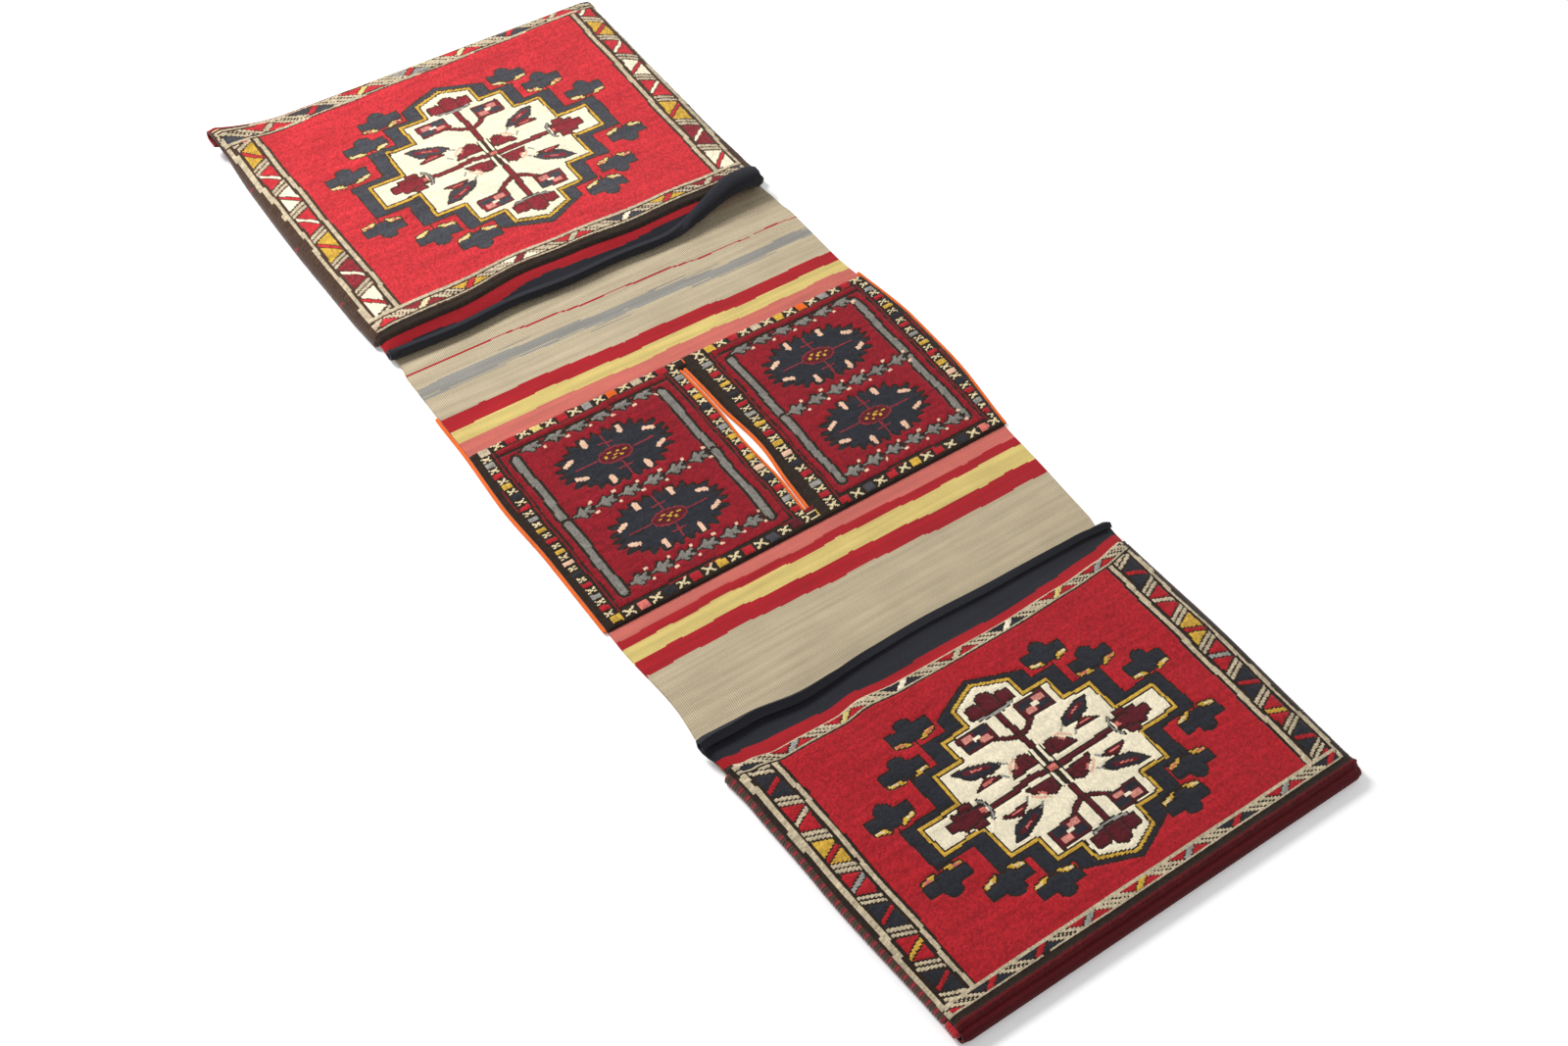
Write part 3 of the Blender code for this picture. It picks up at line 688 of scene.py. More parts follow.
def paint_stripes(x, y, stripes):
    share = ease((x + NOMINAL_HALF) / (2 * NOMINAL_HALF))
    wave = 0.0010 * np.sin(x * 37.0) + 0.0006 * np.sin(x * 91.0 + 1.0)
    rows = np.random.default_rng(17).normal(0.0, 1.0, (y.shape[0], 9))
    parts = np.clip((x / NOMINAL_HALF + 1.0) * 4.0, 0.0, 7.999)
    first = parts.astype(int)
    line = np.arange(y.shape[0])[:, None] + 0 * first
    streak = rows[line, first] + (rows[line, first + 1] - rows[line, first]) * (parts - first)
    dye = np.full(x.shape, DYE[stripes[0][2]], dtype=np.int32)
    for left, right, name in stripes:
        fuzzy = 0.0022 if name == "slate" or dye[-1, 0] == DYE["slate"] else 0.0003
        edge = left + (right - left) * share + wave
        dye[y < edge + fuzzy * streak] = DYE[name]
    return dye


TOP_SQUARES = """
    undyed madder pale_straw madder slate orange undyed madder orange straw madder
    undyed straw orange slate madder straw""".split()
END_SQUARES = """
    straw rose indigo madder straw madder dusk wine straw madder dusk madder straw
    madder indigo rose straw""".split()
SIDE_SQUARES = """
    straw madder slate madder indigo blush straw madder straw slate madder indigo straw
    madder slate rose""".split()
ROSETTES = [(-125, 39.3), (-125, -56.7), (138.3, 40.7), (138.3, -59)]
ROSETTE = [
    (0, 27), (7, 35), (12, 27), (17, 33), (26, 33), (27, 25), (38, 31), (37, 22), (47, 23),
    (45, 17), (60, 18), (50, 10), (65, 8), (53, 3), (66, 0)]
BARS = [-215.9, -35.9, 53.9, 224.2]
COLUMNS = [(-241.5, 6.5), (-8.0, 7.0), (27.5, 7.5), (250.5, 7.5)]


def paint_rosette(p, u, v):
    """A dark flower of stepped petals with pale tips and a golden heart."""
    p.shape(placed(mirrored_ring(ROSETTE), u, v), "indigo", 2.0)
    for hand in (-1, 1):
        for up in (-1, 1):
            p.line(placed([(21, 24), (21, 30)], u, v, hand, up), (6.0, "blush"))
            p.line(placed([(44, 13.5), (53, 10)], u, v, hand, up), (4.6, "blush"))
    oval = [(u + 19 * math.cos(a), v + 8.5 * math.sin(a)) for a in np.linspace(0, 2 * math.pi, 15)]
    p.shape(oval[:-1], "wine", 1.6, "brick")
    for across_, up in ((-11, 0), (-5, 4), (-4, -4), (4, 3), (6, -3), (12, 1), (0, 0)):
        p.line([(u + across_ - 1.0, v + up), (u + across_ + 1.0, v + up)], (2.2, "straw"))
    for up in (-1, 1):
        p.line([(u, v + up * 11), (u, v + up * 29)], (2.0, "brick"))
        p.line([(u - 8, v + up * 18), (u + 8, v + up * 18)], (1.6, "brick"))
    for hand in (-1, 1):
        p.line([(u + hand * 22, v), (u + hand * 46, v)], (1.8, "brick"))


ARROW = [
    (-14, 0), (-6, 2), (-1, 7), (2, 6), (1, 2), (9, 5), (11, 3), (6, 0), (11, -3), (9, -5),
    (1, -2), (2, -6), (-1, -7), (-6, -2)]


def paint_chain(p, left, right, v, count):
    """A row of arrows on a dark line."""
    p.line([(left, v), (right, v)], (3.6, "umber"))
    for i in range(count):
        u = left + (right - left) * (i + 0.5) / count
        p.shape(placed(ARROW, u, v), "ash", 1.8)
        for up in (-1, 1):
            p.box(u + 10, u + 14, v + up * 7 - 1.6, v + up * 7 + 1.6, "blush")


def paint_checks(p, along, over, pitch, names, shown):
    """A border of coloured squares with little crosses between, along one of its axes."""
    step = np.floor(along / pitch).astype(int)
    inside = (along - step * pitch - pitch / 2) / (pitch / 2)
    square = (step % 2 == 1) & (np.abs(inside) < 0.74) & (np.abs(over) < 0.80)
    p.put(shown, "umber")
    thread = np.abs(np.abs(inside) - np.abs(over)) < 0.25
    cross = (step % 2 == 0) & (np.abs(inside) < 0.8) & (np.abs(over) < 0.75)
    p.put(shown & cross & thread, "cream")
    for i, name in enumerate(names):
        p.put(shown & square & ((step // 2) % len(names) == i), name)


def paint_centre(x, y):
    """Dyes of the knotted centre, whose two halves each have their own frame."""
    place = floor_place(x, y)
    wander = np.sin(y * 91.0 + x * 23.0)
    u = place[..., 0] * 1000 + 0.7 * wander
    v = place[..., 1] * 1000 + 0.7 * np.sin(x * 47.0 + y * 11.0)
    p = Pattern(u, v, "garnet")
    for u0, v0 in ROSETTES:
        paint_rosette(p, u0, v0)
    for low, high in ((-4, 84), (-110, -12)):
        for bar in BARS:
            p.line([(bar, low), (bar, high)], (14.0, "umber"), (7.6, "ash"))
    for left, right, rows in ((-208, -42, (91, -8.5, -105.5)), (58, 223, (91, -9, -106.7))):
        for v0 in rows:
            paint_chain(p, left, right, v0, 6)
    top, bottom = CENTRE_FAR * 1000 - v, v - CENTRE_NEAR * 1000
    p.put(between(np.minimum(top, bottom + 3.0), 17.5, 20.5), "umber")
    p.put((top < 17.5) | (bottom < 14.5), "crimson")
    for middle, half in COLUMNS:
        over = u - middle
        for room, dye in ((6.0, "umber"), (3.6, "crimson"), (1.8, "umber")):
            p.put(np.abs(over) < half + room, dye)
        paint_checks(p, v + 400, over / half, 8.0, SIDE_SQUARES, np.abs(over) < half)
    paint_checks(p, u + 262, (top - 5.5) / 5.5, 15.6, TOP_SQUARES, top < 11.0)
    paint_checks(p, u + 262, (bottom - 8.5) / 5.5, 15.6, END_SQUARES, between(bottom, 3.0, 14.0))
    p.put((bottom < 3.0) | (top < 0.6) | between(u, 8.0, 20.0), "umber")
    p.put(np.abs(np.abs(x) - NOMINAL_HALF) < 0.004, "umber")
    return p.dye


# How far each dye's pile stands, as a share: dark wool wears lowest
WORN = {"umber": 0.72, "indigo": 0.93, "slate": 0.9}
# The pile's share at an edge, the width over which it grows, and its unevenness
RIM_PILE = 0.45
PILE_RAMP = 0.003
POUCH_FUZZ = 0.00026
CENTRE_FUZZ = 0.00024


def lines_between(start, end, cell, multiple=1):
    count = max(1, round(abs(end - start) / cell / multiple)) * multiple
    return np.linspace(start, end, count + 1)


def middles(grid):
    return (grid[1:, 1:] + grid[:-1, 1:] + grid[1:, :-1] + grid[:-1, :-1]) / 4


def to_corners(cells):
    """Mean of the cells round each corner of a grid."""
    padded = np.pad(cells, 1, mode="edge")
    return (padded[1:, 1:] + padded[:-1, 1:] + padded[1:, :-1] + padded[:-1, :-1]) / 4


def normals_of(points, outward):
    along = np.gradient(points, axis=0)
    over = np.gradient(points, axis=1)
    normal = np.cross(over, along) * outward
    return normal / np.maximum(1e-12, np.linalg.norm(normal, axis=-1, keepdims=True))


def grid_faces(rows, columns, start, step, flipped):
    r, c = np.meshgrid(np.arange(0, rows - 1, step), np.arange(0, columns - 1, step),
                       indexing="ij")
    a = start + r * columns + c
    quads = np.stack([a, a + step, a + step * columns + step, a + step * columns], axis=-1)
    quads = quads.reshape(-1, 4)
    return quads[:, ::-1] if flipped else quads


def piece_of(name, points, faces, materials, chosen, places):
    """An object from its mesh, each face's material and each point's place on the cloth."""
    mesh = bpy.data.meshes.new(name)
    mesh.from_pydata(points.tolist(), [], faces)
    for material in materials:
        mesh.materials.append(bpy.data.materials[material])
    mesh.polygons.foreach_set("material_index", chosen)
    mesh.polygons.foreach_set("use_smooth", [True] * len(faces))
    corner = np.empty(len(mesh.loops), dtype=np.int32)
    mesh.loops.foreach_get("vertex_index", corner)
    layer = mesh.uv_layers.new(name="cloth")
    layer.data.foreach_set("uv", places[corner].astype(np.float32).ravel())
    mesh.update()
    piece = bpy.data.objects.new(name, mesh)
    bpy.context.scene.collection.objects.link(piece)
    return piece


def closed_sheet(name, x, s, middle, above, outward, dye, flat, cut=None, coarse=COARSE):
    """A closed sheet over a grid of places: fine above, coarse below, with a rim round it."""
    rows, columns = x.shape
    normal = normals_of(middle, outward)
    top = middle + normal * above[..., None]
    under = middle - normal * (WEAVE / 2)
    points = np.concatenate([top.reshape(-1, 3), under.reshape(-1, 3)]) + np.array(SHIFT)
    half = rows * columns
    facing = outward > 0
    fine = grid_faces(rows, columns, 0, 1, not facing)
    low = grid_faces(rows, columns, half, coarse, facing)
    fine_dye = dye.reshape(-1)
    low_dye = dye[coarse // 2::coarse, coarse // 2::coarse]
    low_dye = low_dye[:(rows - 1) // coarse, :(columns - 1) // coarse].reshape(-1)
    fine_flat = flat.reshape(-1)
    if cut is not None:
        keep = ~cut.reshape(-1)
        fine, fine_dye, fine_flat = fine[keep], fine_dye[keep], fine_flat[keep]
        low, low_dye = low[keep], low_dye[keep]
    if cut is None:
        rims, rim_cells = outer_rims(rows, columns, half, coarse, facing)
    else:
        rims, rim_cells = cut_rims(cut, columns, half, facing)
    faces = fine.tolist() + low.tolist() + rims
    kinds = [*zip(fine_dye, fine_flat), *((d, True) for d in low_dye),
             *((dye[cell], flat[cell]) for cell in rim_cells)]
    kinds = [(int(d), bool(f)) for d, f in kinds]
    slots = {kind: i for i, kind in enumerate(dict.fromkeys(kinds))}
    used = np.zeros(len(points), dtype=bool)
    for face in faces:
        used[face] = True
    renumber = np.cumsum(used) - 1
    faces = [renumber[face].tolist() for face in faces]
    cloth = np.stack([across(x, 0.0 * x), s], axis=-1).reshape(-1, 2)
    names = list(DYES)
    piece = piece_of(name, points[used], faces,
                     [("flat_" if is_flat else "pile_") + names[d] for d, is_flat in slots],
                     [slots[kind] for kind in kinds], np.concatenate([cloth, cloth])[used])
    piece.data.set_sharp_from_angle(angle=math.radians(60))
    return piece


def outer_rims(rows, columns, half, coarse, facing):
    """Faces that close a sheet's four sides, and the cell that each takes its dye from."""
    faces, cells = [], []
    run = range(coarse + 1)

    def add(upper, cell):
        face = upper[::-1] + [upper[0] + half, upper[-1] + half]
        faces.append(face if facing else face[::-1])
        cells.append(cell)

    for c in range(0, columns - 1, coarse):
        add([c + i for i in run], (0, c))
        add([(rows - 1) * columns + c + i for i in run][::-1], (rows - 2, c))
    for r in range(0, rows - 1, coarse):
        add([(r + i) * columns + columns - 1 for i in run], (r, columns - 2))
        add([(r + i) * columns for i in run][::-1], (r, 0))
    return faces, cells


def cut_rims(cut, columns, half, facing):
    """The same for a sheet with cells cut out of it, cell by cell."""
    faces, cells = [], []
    open_ = np.pad(cut, 1, constant_values=True)
    for r, c in np.argwhere(~cut).tolist():
        a = r * columns + c
        around = ((open_[r, c + 1], a, a + 1), (open_[r + 1, c + 2], a + 1, a + 1 + columns),
                  (open_[r + 2, c + 1], a + 1 + columns, a + columns),
                  (open_[r + 1, c], a + columns, a))
        for is_open, first, second in around:
            if is_open:
                face = [second, first, first + half, second + half]
                faces.append(face if facing else face[::-1])
                cells.append((r, c))
    return faces, cells


def fuzz(shape, seed, size):
    return np.random.default_rng(seed).normal(0.0, size, shape)


def pile_top(dye, rise, edge, seed, unevenness):
    """Height of the pile's top over a grid, lower where its dye has worn and near an edge."""
    share = np.ones(dye.shape)
    for dye_name, worn in WORN.items():
        share[dye == DYE[dye_name]] = worn
    rise = rise * (RIM_PILE + (1.0 - RIM_PILE) * ease(edge / PILE_RAMP))
    pile = PILE * rise * to_corners(share) + fuzz(rise.shape, seed, unevenness) * (rise > 0.2)
    return WEAVE / 2 + np.maximum(pile, 0.0)


def make_pouch(name, side):
    face = mouth_and_face(side)[1]
    stations = lines_between(-FLAP_TIP, face + math.pi * FOLD_RADIUS + TUCK, CELL, COARSE)
    columns = lines_between(-NOMINAL_HALF, NOMINAL_HALF, CELL, COARSE)
    s, x = np.meshgrid(stations, columns, indexing="ij")
    dye = paint_face(middles(x), middles(s), side)
    middle = pouch_place(x, s, side)
    on_face = ease(s / 0.03 + 0.6) * ease((face - s) / 0.03)
    edge = NOMINAL_HALF - np.abs(x)
    middle[..., 2] += 0.0008 * np.sin(x * 23 + s * 9) * on_face
    middle[..., 2] += 0.0005 * np.sin(x * 61 - s * 47) * on_face
    middle[..., 2] -= RIM_SAG * ease(1.0 - edge / RIM_SAG_WIDTH) * on_face
    pile_end = face + (0.0 if side > 0 else -0.001)
    rise = ease(s / 0.002) * ease((pile_end - s) / 0.003)
    return closed_sheet(name, x, s, middle, pile_top(dye, rise, edge, 3, POUCH_FUZZ),
                        1.0 if side > 0 else -1.0, dye, ~between(middles(s), 0.0, pile_end))


def make_flat_stretch(name, start, end, cell, over_cell, coarse, paint):
    """A flat-woven stretch of the layer on the floor."""
    rows = lines_between(start, end, cell, coarse)
    columns = lines_between(-NOMINAL_HALF, NOMINAL_HALF, over_cell, coarse)
    y, x = np.meshgrid(rows, columns, indexing="ij")
    dye = paint(middles(x), middles(y))
    return closed_sheet(name, x, y, floor_place(x, y), np.full(x.shape, WEAVE / 2), -1.0, dye,
                        np.ones(dye.shape, bool), coarse=coarse)


def make_bridge(name, start, end, stripes):
    return make_flat_stretch(name, start, end, 0.0012, 0.002, COARSE,
                             lambda x, y: paint_stripes(x, y, stripes))


def make_back(name, start, end):
    return make_flat_stretch(name, start, end, 0.006, 0.006, 1,
                             lambda x, y: np.full(x.shape, DYE["crimson"], dtype=np.int32))


def make_centre(name):
    rows = np.concatenate([lines_between(CENTRE_FAR, SLIT_FAR, CELL),
                           lines_between(SLIT_FAR, SLIT_NEAR, CELL)[1:],
                           lines_between(SLIT_NEAR, CENTRE_NEAR, CELL)[1:]])
    left = lines_between(-NOMINAL_HALF, -SLIT_HALF, CELL)
    columns = np.concatenate([left, -left[::-1]])
    y, x = np.meshgrid(rows, columns, indexing="ij")
    dye = paint_centre(middles(x), middles(y))
    cut = (np.abs(middles(x)) < SLIT_HALF / 2) & between(middles(y), SLIT_NEAR, SLIT_FAR)
    edge = np.minimum(NOMINAL_HALF - np.abs(x), np.abs(x) - SLIT_HALF + 0.0006)
    edge = np.where((y > SLIT_FAR) | (y < SLIT_NEAR), NOMINAL_HALF - np.abs(x), edge)
    rise = ease((CENTRE_FAR - y) / 0.002) * ease((y - CENTRE_NEAR) / 0.002)
    return closed_sheet(name, x, y, floor_place(x, y), pile_top(dye, rise, edge, 5, CENTRE_FUZZ),
                        -1.0, dye, np.zeros(dye.shape, bool), cut=cut, coarse=1)


def make_overcast(name, path, radius, height, pitch, dyes, every=0):
    """A rope of stitches wound round an edge: each turn of wool bulges on its own."""
    path = np.array(path)
    steps = np.linalg.norm(np.diff(path, axis=0), axis=1)
    length = np.concatenate([[0.0], np.cumsum(steps)])
    stitches = max(2, round(length[-1] / pitch))
    count = stitches * ROPE_STEPS
    rings = np.arange(count + 1)
    at = np.linspace(0.0, length[-1], count + 1)
    centre = np.stack([np.interp(at, length, path[:, i]) for i in range(3)], axis=-1)
    ahead = np.gradient(centre, axis=0)
    ahead /= np.linalg.norm(ahead, axis=1, keepdims=True)
    over = np.cross(ahead, [0.0, 0.0, 1.0])
    over /= np.linalg.norm(over, axis=1, keepdims=True)
    up = np.cross(over, ahead)
    angles = np.linspace(0.0, 2 * math.pi, ROPE_SIDES, endpoint=False)
    phase = rings[:, None] / ROPE_STEPS - angles[None, :] / (2 * math.pi) * ROPE_TWIST
    bulge = np.abs(np.sin(math.pi * phase)) ** 0.6
    size = 0.84 + 0.16 * bulge + fuzz(bulge.shape, 7, 0.02)
    ends = np.minimum(rings, count - rings) / ROPE_STEPS
    size *= (0.55 + 0.45 * ease(ends / 0.8))[:, None]
    wide = radius * np.cos(angles)[None, :, None] * over[:, None]
    tall = height * np.sin(angles)[None, :, None] * up[:, None]
    points = centre[:, None] + size[..., None] * (wide + tall)
    points = points.reshape(-1, 3) + np.array(SHIFT)
    faces, kinds = [], []
    for r in range(count):
        for c in range(ROPE_SIDES):
            a, b = r * ROPE_SIDES + c, r * ROPE_SIDES + (c + 1) % ROPE_SIDES
            faces.append([a, b, b + ROPE_SIDES, a + ROPE_SIDES])
            kinds.append(int(math.floor(r / ROPE_STEPS - c / ROPE_SIDES * ROPE_TWIST + 0.5)))
    faces.append(list(range(ROPE_SIDES))[::-1])
    faces.append([count * ROPE_SIDES + c for c in range(ROPE_SIDES)])
    kinds += [0, stitches]
    choice = np.random.default_rng(11).random(stitches + 4)
    names = [d for d, _ in dyes]
    bounds_ = np.cumsum([w for _, w in dyes])
    chosen = [int(np.searchsorted(bounds_, choice[k % len(choice)])) for k in kinds]
    chosen = [min(k, len(names) - 1) for k in chosen]
    if every:
        chosen = [int(k % every == 0) for k in kinds]
    uv = np.stack([np.tile(np.sin(angles) * radius, count + 1), np.repeat(at, ROPE_SIDES)],
                  axis=-1)
    return piece_of(name, points, faces, ["cord_" + dye for dye in names], chosen, uv)


def edge_path(side, start, end, radius, height):
    x = side * NOMINAL_HALF
    return [(float(outline(side, y)) - side * radius, y + float(skew(x, y)),
             height + float(ear(x, y))) for y in lines_between(start, end, 0.004)]


def slit_path(side, height):
    room = CORD_ROOM + BINDING_RADIUS
    return [(float(across(0.0, y) + side * (slit_half(y) - room)), y, height)
            for y in lines_between(SLIT_FAR - CORD_ROOM, SLIT_NEAR + CORD_ROOM, 0.003)]


class Nodes:
    """A material's node tree, with short calls that add linked nodes."""

    def __init__(self, name, roughness, sheen):
        self.material = bpy.data.materials.new(name)
        self.material.use_nodes = True
        self.tree = self.material.node_tree
        self.shader = self.tree.nodes["Principled BSDF"]
        for key, value in (("Roughness", roughness), ("Sheen Weight", sheen),
                           ("Sheen Roughness", 0.5), ("Specular IOR Level", 0.2)):
            self.shader.inputs[key].default_value = value

    def add(self, kind, values=None, **settings):
        node = self.tree.nodes.new(kind)
        for key, value in settings.items():
            setattr(node, key, value)
        for key, value in (values or {}).items():
            if isinstance(value, bpy.types.NodeSocket):
                self.tree.links.new(value, node.inputs[key])
            else:
                node.inputs[key].default_value = value
        return node

    def math(self, operation, first, second=0.0, third=0.0):
        return self.add("ShaderNodeMath", {0: first, 1: second, 2: third},
                        operation=operation).outputs[0]

    def product(self, first, *others):
        for other in others:
            first = self.math("MULTIPLY", first, other)
        return first

    def noise(self, vector, scale, detail=2.0):
        """Noise at a scale, or stretched by a scale for each axis."""
        if isinstance(scale, tuple):
            vector = self.add("ShaderNodeVectorMath", {0: vector, 1: scale},
                              operation="MULTIPLY").outputs[0]
            scale = 1.0
        return self.add("ShaderNodeTexNoise", {"Vector": vector, "Scale": scale,
                                               "Detail": detail}).outputs["Fac"]

    def ranged(self, value, low, high):
        return self.add("ShaderNodeMapRange", {"Value": value, "To Min": low,
                                               "To Max": high}).outputs["Result"]

    def paint(self, colour, brightness):
        tint = self.add("ShaderNodeHueSaturation", {"Color": (*colour, 1.0), "Value": brightness})
        self.tree.links.new(tint.outputs["Color"], self.shader.inputs["Base Color"])

    def bump(self, height, strength, distance):
        bump = self.add("ShaderNodeBump", {"Height": height, "Strength": strength,
                                           "Distance": distance})
        self.tree.links.new(bump.outputs["Normal"], self.shader.inputs["Normal"])


RIB_PITCH = 0.0022


def make_pile(name, colour):
    """Knotted pile: rows of knots, each its own shade, in bands of slightly different dye lots."""
    n = Nodes("pile_" + name, 0.95, 0.10)
    place = n.add("ShaderNodeUVMap", uv_map="cloth").outputs["UV"]
    knots = n.add("ShaderNodeTexVoronoi", {"Vector": place, "Scale": 470.0, "Randomness": 0.55},
                  voronoi_dimensions="2D")
    knot = n.add("ShaderNodeSeparateColor", {"Color": knots.outputs["Color"]}).outputs[0]
    lots = n.noise(place, (5.0, 130.0, 1.0), 3.0)
    patches = n.noise(place, 26.0, 3.0)
    fibres = n.noise(place, (900.0, 1500.0, 1.0))
    mottle = 0.45 if max(colour) > 0.65 else 1.0
    n.paint(colour, n.product(n.ranged(knot, 1.0 - 0.24 * mottle, 1.0 + 0.20 * mottle),
                              n.ranged(lots, 1.0 - 0.38 * mottle, 1.0 + 0.38 * mottle),
                              n.ranged(patches, 0.86, 1.14),
                              n.ranged(fibres, 1.0 - 0.2 * mottle, 1.0 + 0.2 * mottle)))
    n.bump(n.math("ADD", n.product(knots.outputs["Distance"], -0.8), n.product(fibres, 0.7)),
           0.8, 0.0011)


def make_flat(name, colour):
    """Weft-faced weave: fine ribs along the warps, with short dashes of weft between them."""
    n = Nodes("flat_" + name, 0.95, 0.06)
    place = n.add("ShaderNodeUVMap", uv_map="cloth").outputs["UV"]
    parts = n.add("ShaderNodeSeparateXYZ", {"Vector": place})
    wander = n.noise(place, (30.0, 9.0, 1.0))
    rib_turn = n.math("MULTIPLY_ADD", parts.outputs[0], 2.0 * math.pi / RIB_PITCH,
                      n.product(wander, 5.0))
    rib = n.math("ABSOLUTE", n.math("SINE", n.product(rib_turn, 0.5)))
    picks = n.noise(place, (420.0, 1500.0, 1.0))
    lots = n.noise(place, (7.0, 170.0, 1.0), 3.0)
    patches = n.noise(place, 22.0, 3.0)
    # The ribs' grooves are painted darker than their crests: painted shade in the grooves, beside
    # the ribs' bump
    n.paint(colour, n.product(n.ranged(rib, 0.70, 1.08), n.ranged(picks, 0.72, 1.26),
                              n.ranged(lots, 0.66, 1.34), n.ranged(patches, 0.88, 1.12)))
    n.bump(n.math("ADD", rib, n.product(picks, 0.5)), 0.85, 0.0007)


def make_cord_wool(name, colour):
    """Stitching wool: fine fibres along each turn."""
    n = Nodes("cord_" + name, 0.85, 0.3)
    place = n.add("ShaderNodeTexCoord").outputs["Object"]
    fibres = n.noise(place, (300.0, 1600.0, 500.0))
    patches = n.noise(place, 60.0, 3.0)
    n.paint(colour, n.product(n.ranged(fibres, 0.62, 1.38), n.ranged(patches, 0.75, 1.25)))
    n.bump(fibres, 0.5, 0.0004)


def make_wools():
    for name, colour in DYES.items():
        make_pile(name, colour)
        make_flat(name, colour)
        make_cord_wool(name, colour)


CAMERA_PLACE = (-0.9494, -1.0373, 1.6189)
CAMERA_RIGHT = (0.7959818, -0.5944562, 0.1141699)
CAMERA_UP = (0.4131632, 0.6713919, 0.6152472)
CAMERA_BACK = (-0.4423903, -0.4425548, 0.7800232)
LENS = 47.09
SENSOR = 36.0
SKY = 0.42
# Each lamp's name, place, size and power
LAMPS = [("key", (-0.9, 1.6, 2.0), 0.9, 78.0), ("fill", (1.6, -0.9, 2.2), 2.0, 11.0)]
FLOOR_HALF = 8.0
FLOOR_GLOW = 0.22


def make_camera():
    data = bpy.data.cameras.new("camera")
    data.lens = LENS
    data.sensor_width = SENSOR
    data.clip_start = 0.01
    camera = bpy.data.objects.new("camera", data)
    bpy.context.scene.collection.objects.link(camera)
    axes = (CAMERA_RIGHT, CAMERA_UP, CAMERA_BACK)
    camera.matrix_world = [[axes[j][i] for j in range(3)] + [CAMERA_PLACE[i]] for i in range(3)] \
        + [[0.0, 0.0, 0.0, 1.0]]
    camera.matrix_world.transpose()
    bpy.context.scene.camera = camera


def make_lamp(name, place, size, power):
    data = bpy.data.lights.new(name, "AREA")
    data.shape = "DISK"
    data.size = size
    data.energy = power
    lamp = bpy.data.objects.new(name, data)
    lamp.location = place
    away = np.array(place) / np.linalg.norm(place)
    lamp.rotation_euler = (math.acos(away[2]), 0.0, math.atan2(away[1], away[0]) + math.pi / 2)
    bpy.context.scene.collection.objects.link(lamp)


def make_studio():
    scene = bpy.context.scene
    scene.view_settings.view_transform = "Standard"
    world = bpy.data.worlds.new("studio")
    scene.world = world
    world.use_nodes = True
    background = world.node_tree.nodes["Background"]
    background.inputs["Color"].default_value = (1.0, 1.0, 1.0, 1.0)
    background.inputs["Strength"].default_value = SKY
    for lamp in LAMPS:
        make_lamp(*lamp)
    mesh = bpy.data.meshes.new("floor")
    corners = [(-FLOOR_HALF, -FLOOR_HALF, 0), (FLOOR_HALF, -FLOOR_HALF, 0),
               (FLOOR_HALF, FLOOR_HALF, 0), (-FLOOR_HALF, FLOOR_HALF, 0)]
    mesh.from_pydata(corners, [], [(0, 1, 2, 3)])
    floor = bpy.data.objects.new("floor", mesh)
    floor.location.z = -0.0002
    scene.collection.objects.link(floor)
    n = Nodes("studio_floor", 0.9, 0.0)
    n.shader.inputs["Base Color"].default_value = (0.86, 0.86, 0.86, 1.0)
    seen = n.add("ShaderNodeLightPath").outputs["Is Camera Ray"]
    glow = n.add("ShaderNodeEmission", {"Strength": n.product(seen, FLOOR_GLOW)})
    both = n.add("ShaderNodeAddShader", {0: n.shader.outputs[0], 1: glow.outputs[0]})
    n.tree.links.new(both.outputs[0], n.tree.nodes["Material Output"].inputs["Surface"])
    mesh.materials.append(n.material)


# Each stitching wool's dyes and their shares
DARK_WOOLS = [("bark", 0.95), ("brick", 0.05)]
RED_WOOL = [("madder", 1.0)]
ORANGE_WOOL = [("orange", 1.0)]


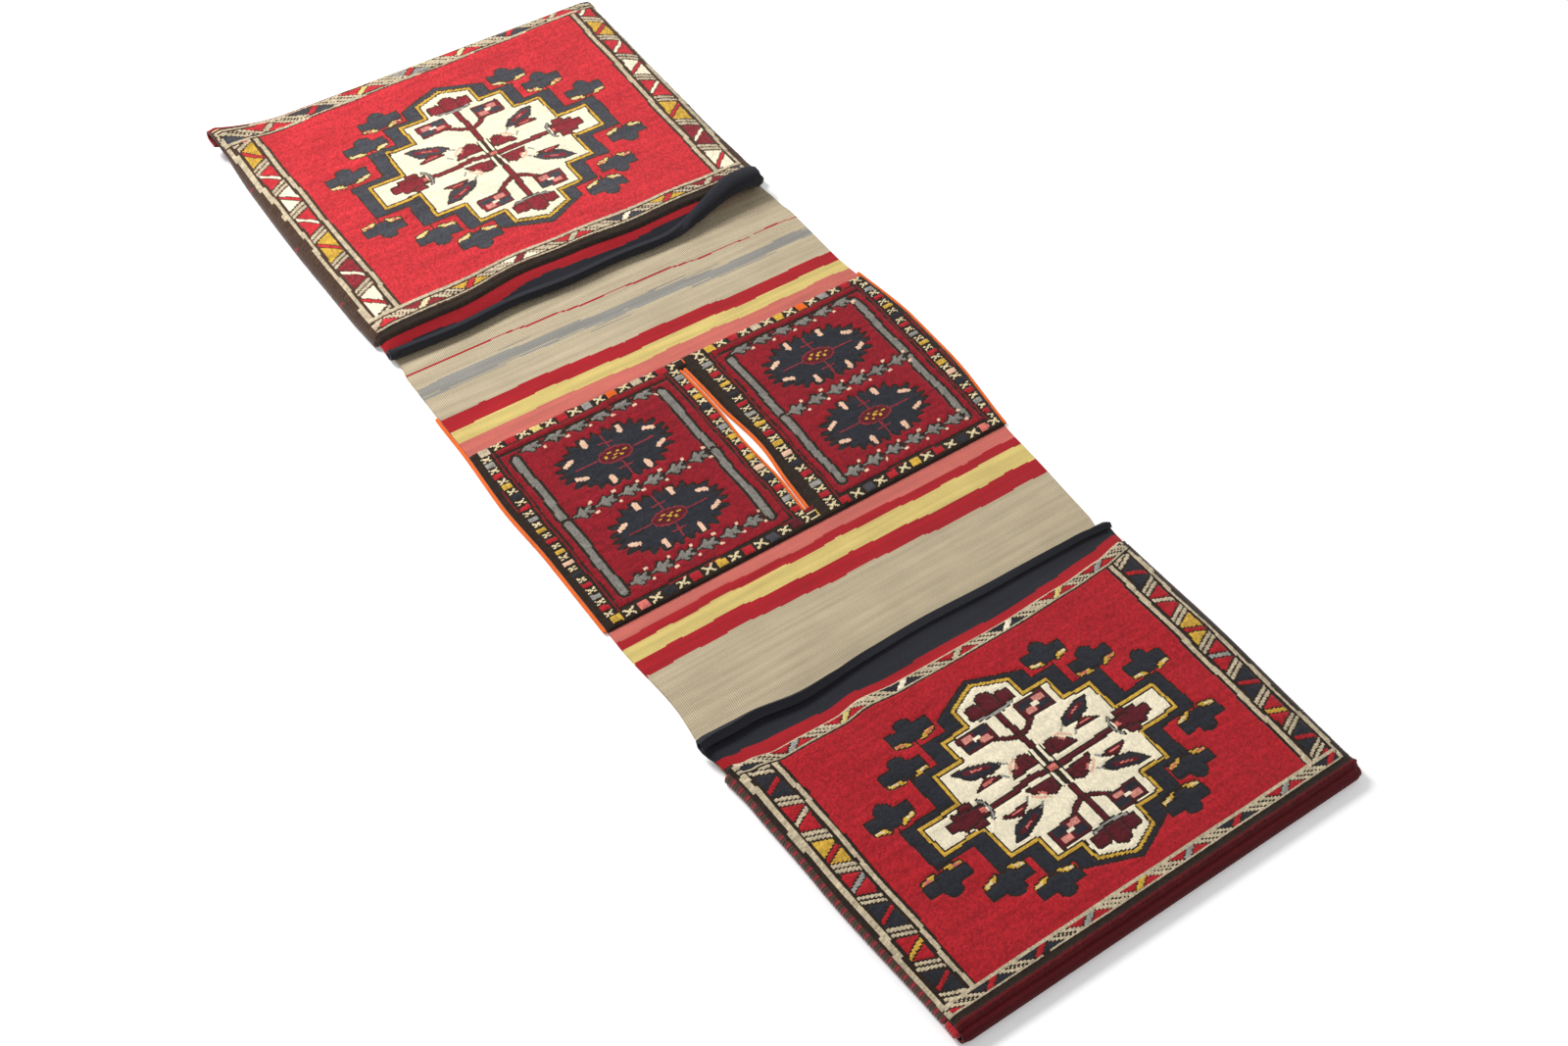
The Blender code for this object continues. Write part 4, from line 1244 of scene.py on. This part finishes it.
def make_stitching():
    """Overcast stitches in the place of each seam, wrap and binding."""
    corner = CORNER_LENGTH - FOLD
    wrap = (WRAP_HALF_WIDTH, WRAP_HALF_HEIGHT, WRAP_PITCH)
    cord = (BINDING_RADIUS, BINDING_RADIUS, CORD_PITCH)
    edge = (WRAP_HALF_WIDTH - WRAP_OUT, WRAP_HEIGHT)
    low = (WEAVE + BINDING_RADIUS) / 2
    for side, hand in ((-1, "left"), (1, "right")):
        every = 3 if side < 0 else 0
        far = LEFT_BINDING_FAR if side < 0 else RIGHT_BINDING_FAR
        rows = [("side_seam_far", edge_path(side, FAR_MOUTH - SEAM_START, FOLD, *edge), wrap,
                 DARK_WOOLS, 0, "brown_wool"),
                ("side_seam_near", edge_path(side, NEAR_MOUTH + SEAM_START, corner, *edge), wrap,
                 DARK_WOOLS, every, "brown_wool"),
                ("corner_wrap", edge_path(side, corner, -FOLD, *edge), wrap,
                 RED_WOOL, 0, "red_wool"),
                ("edge_binding", edge_path(side, far, BINDING_NEAR, BINDING_RADIUS, low), cord,
                 ORANGE_WOOL, 0, "orange_wool"),
                ("slit_binding", slit_path(side, low), cord, ORANGE_WOOL, 0, "orange_wool")]
        for kind, path, (radius, height, pitch), dyes, every, slot in rows:
            name = f"{kind}_{hand}"
            piece = make_overcast(name + "_stitches", path, radius, height, pitch, dyes, every)
            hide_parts(name)
            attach(piece, "root")


def main():
    make_wools()
    make_camera()
    make_studio()
    cloth = [make_pouch("far_pouch_face", 1), make_pouch("near_pouch_face", -1),
             make_bridge("far_bridge", FAR_BRIDGE_END, CENTRE_FAR, FAR_STRIPES),
             make_bridge("near_bridge", CENTRE_NEAR, NEAR_BRIDGE_END, NEAR_STRIPES),
             make_back("far_pouch_back", FOLD - TUCK, FAR_BRIDGE_END),
             make_back("near_pouch_back", NEAR_BRIDGE_END, TUCK - FOLD),
             make_centre("knotted_centre")]
    for piece in cloth:
        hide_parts("woven_cloth")
        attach(piece, "root")
    make_stitching()
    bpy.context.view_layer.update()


main()
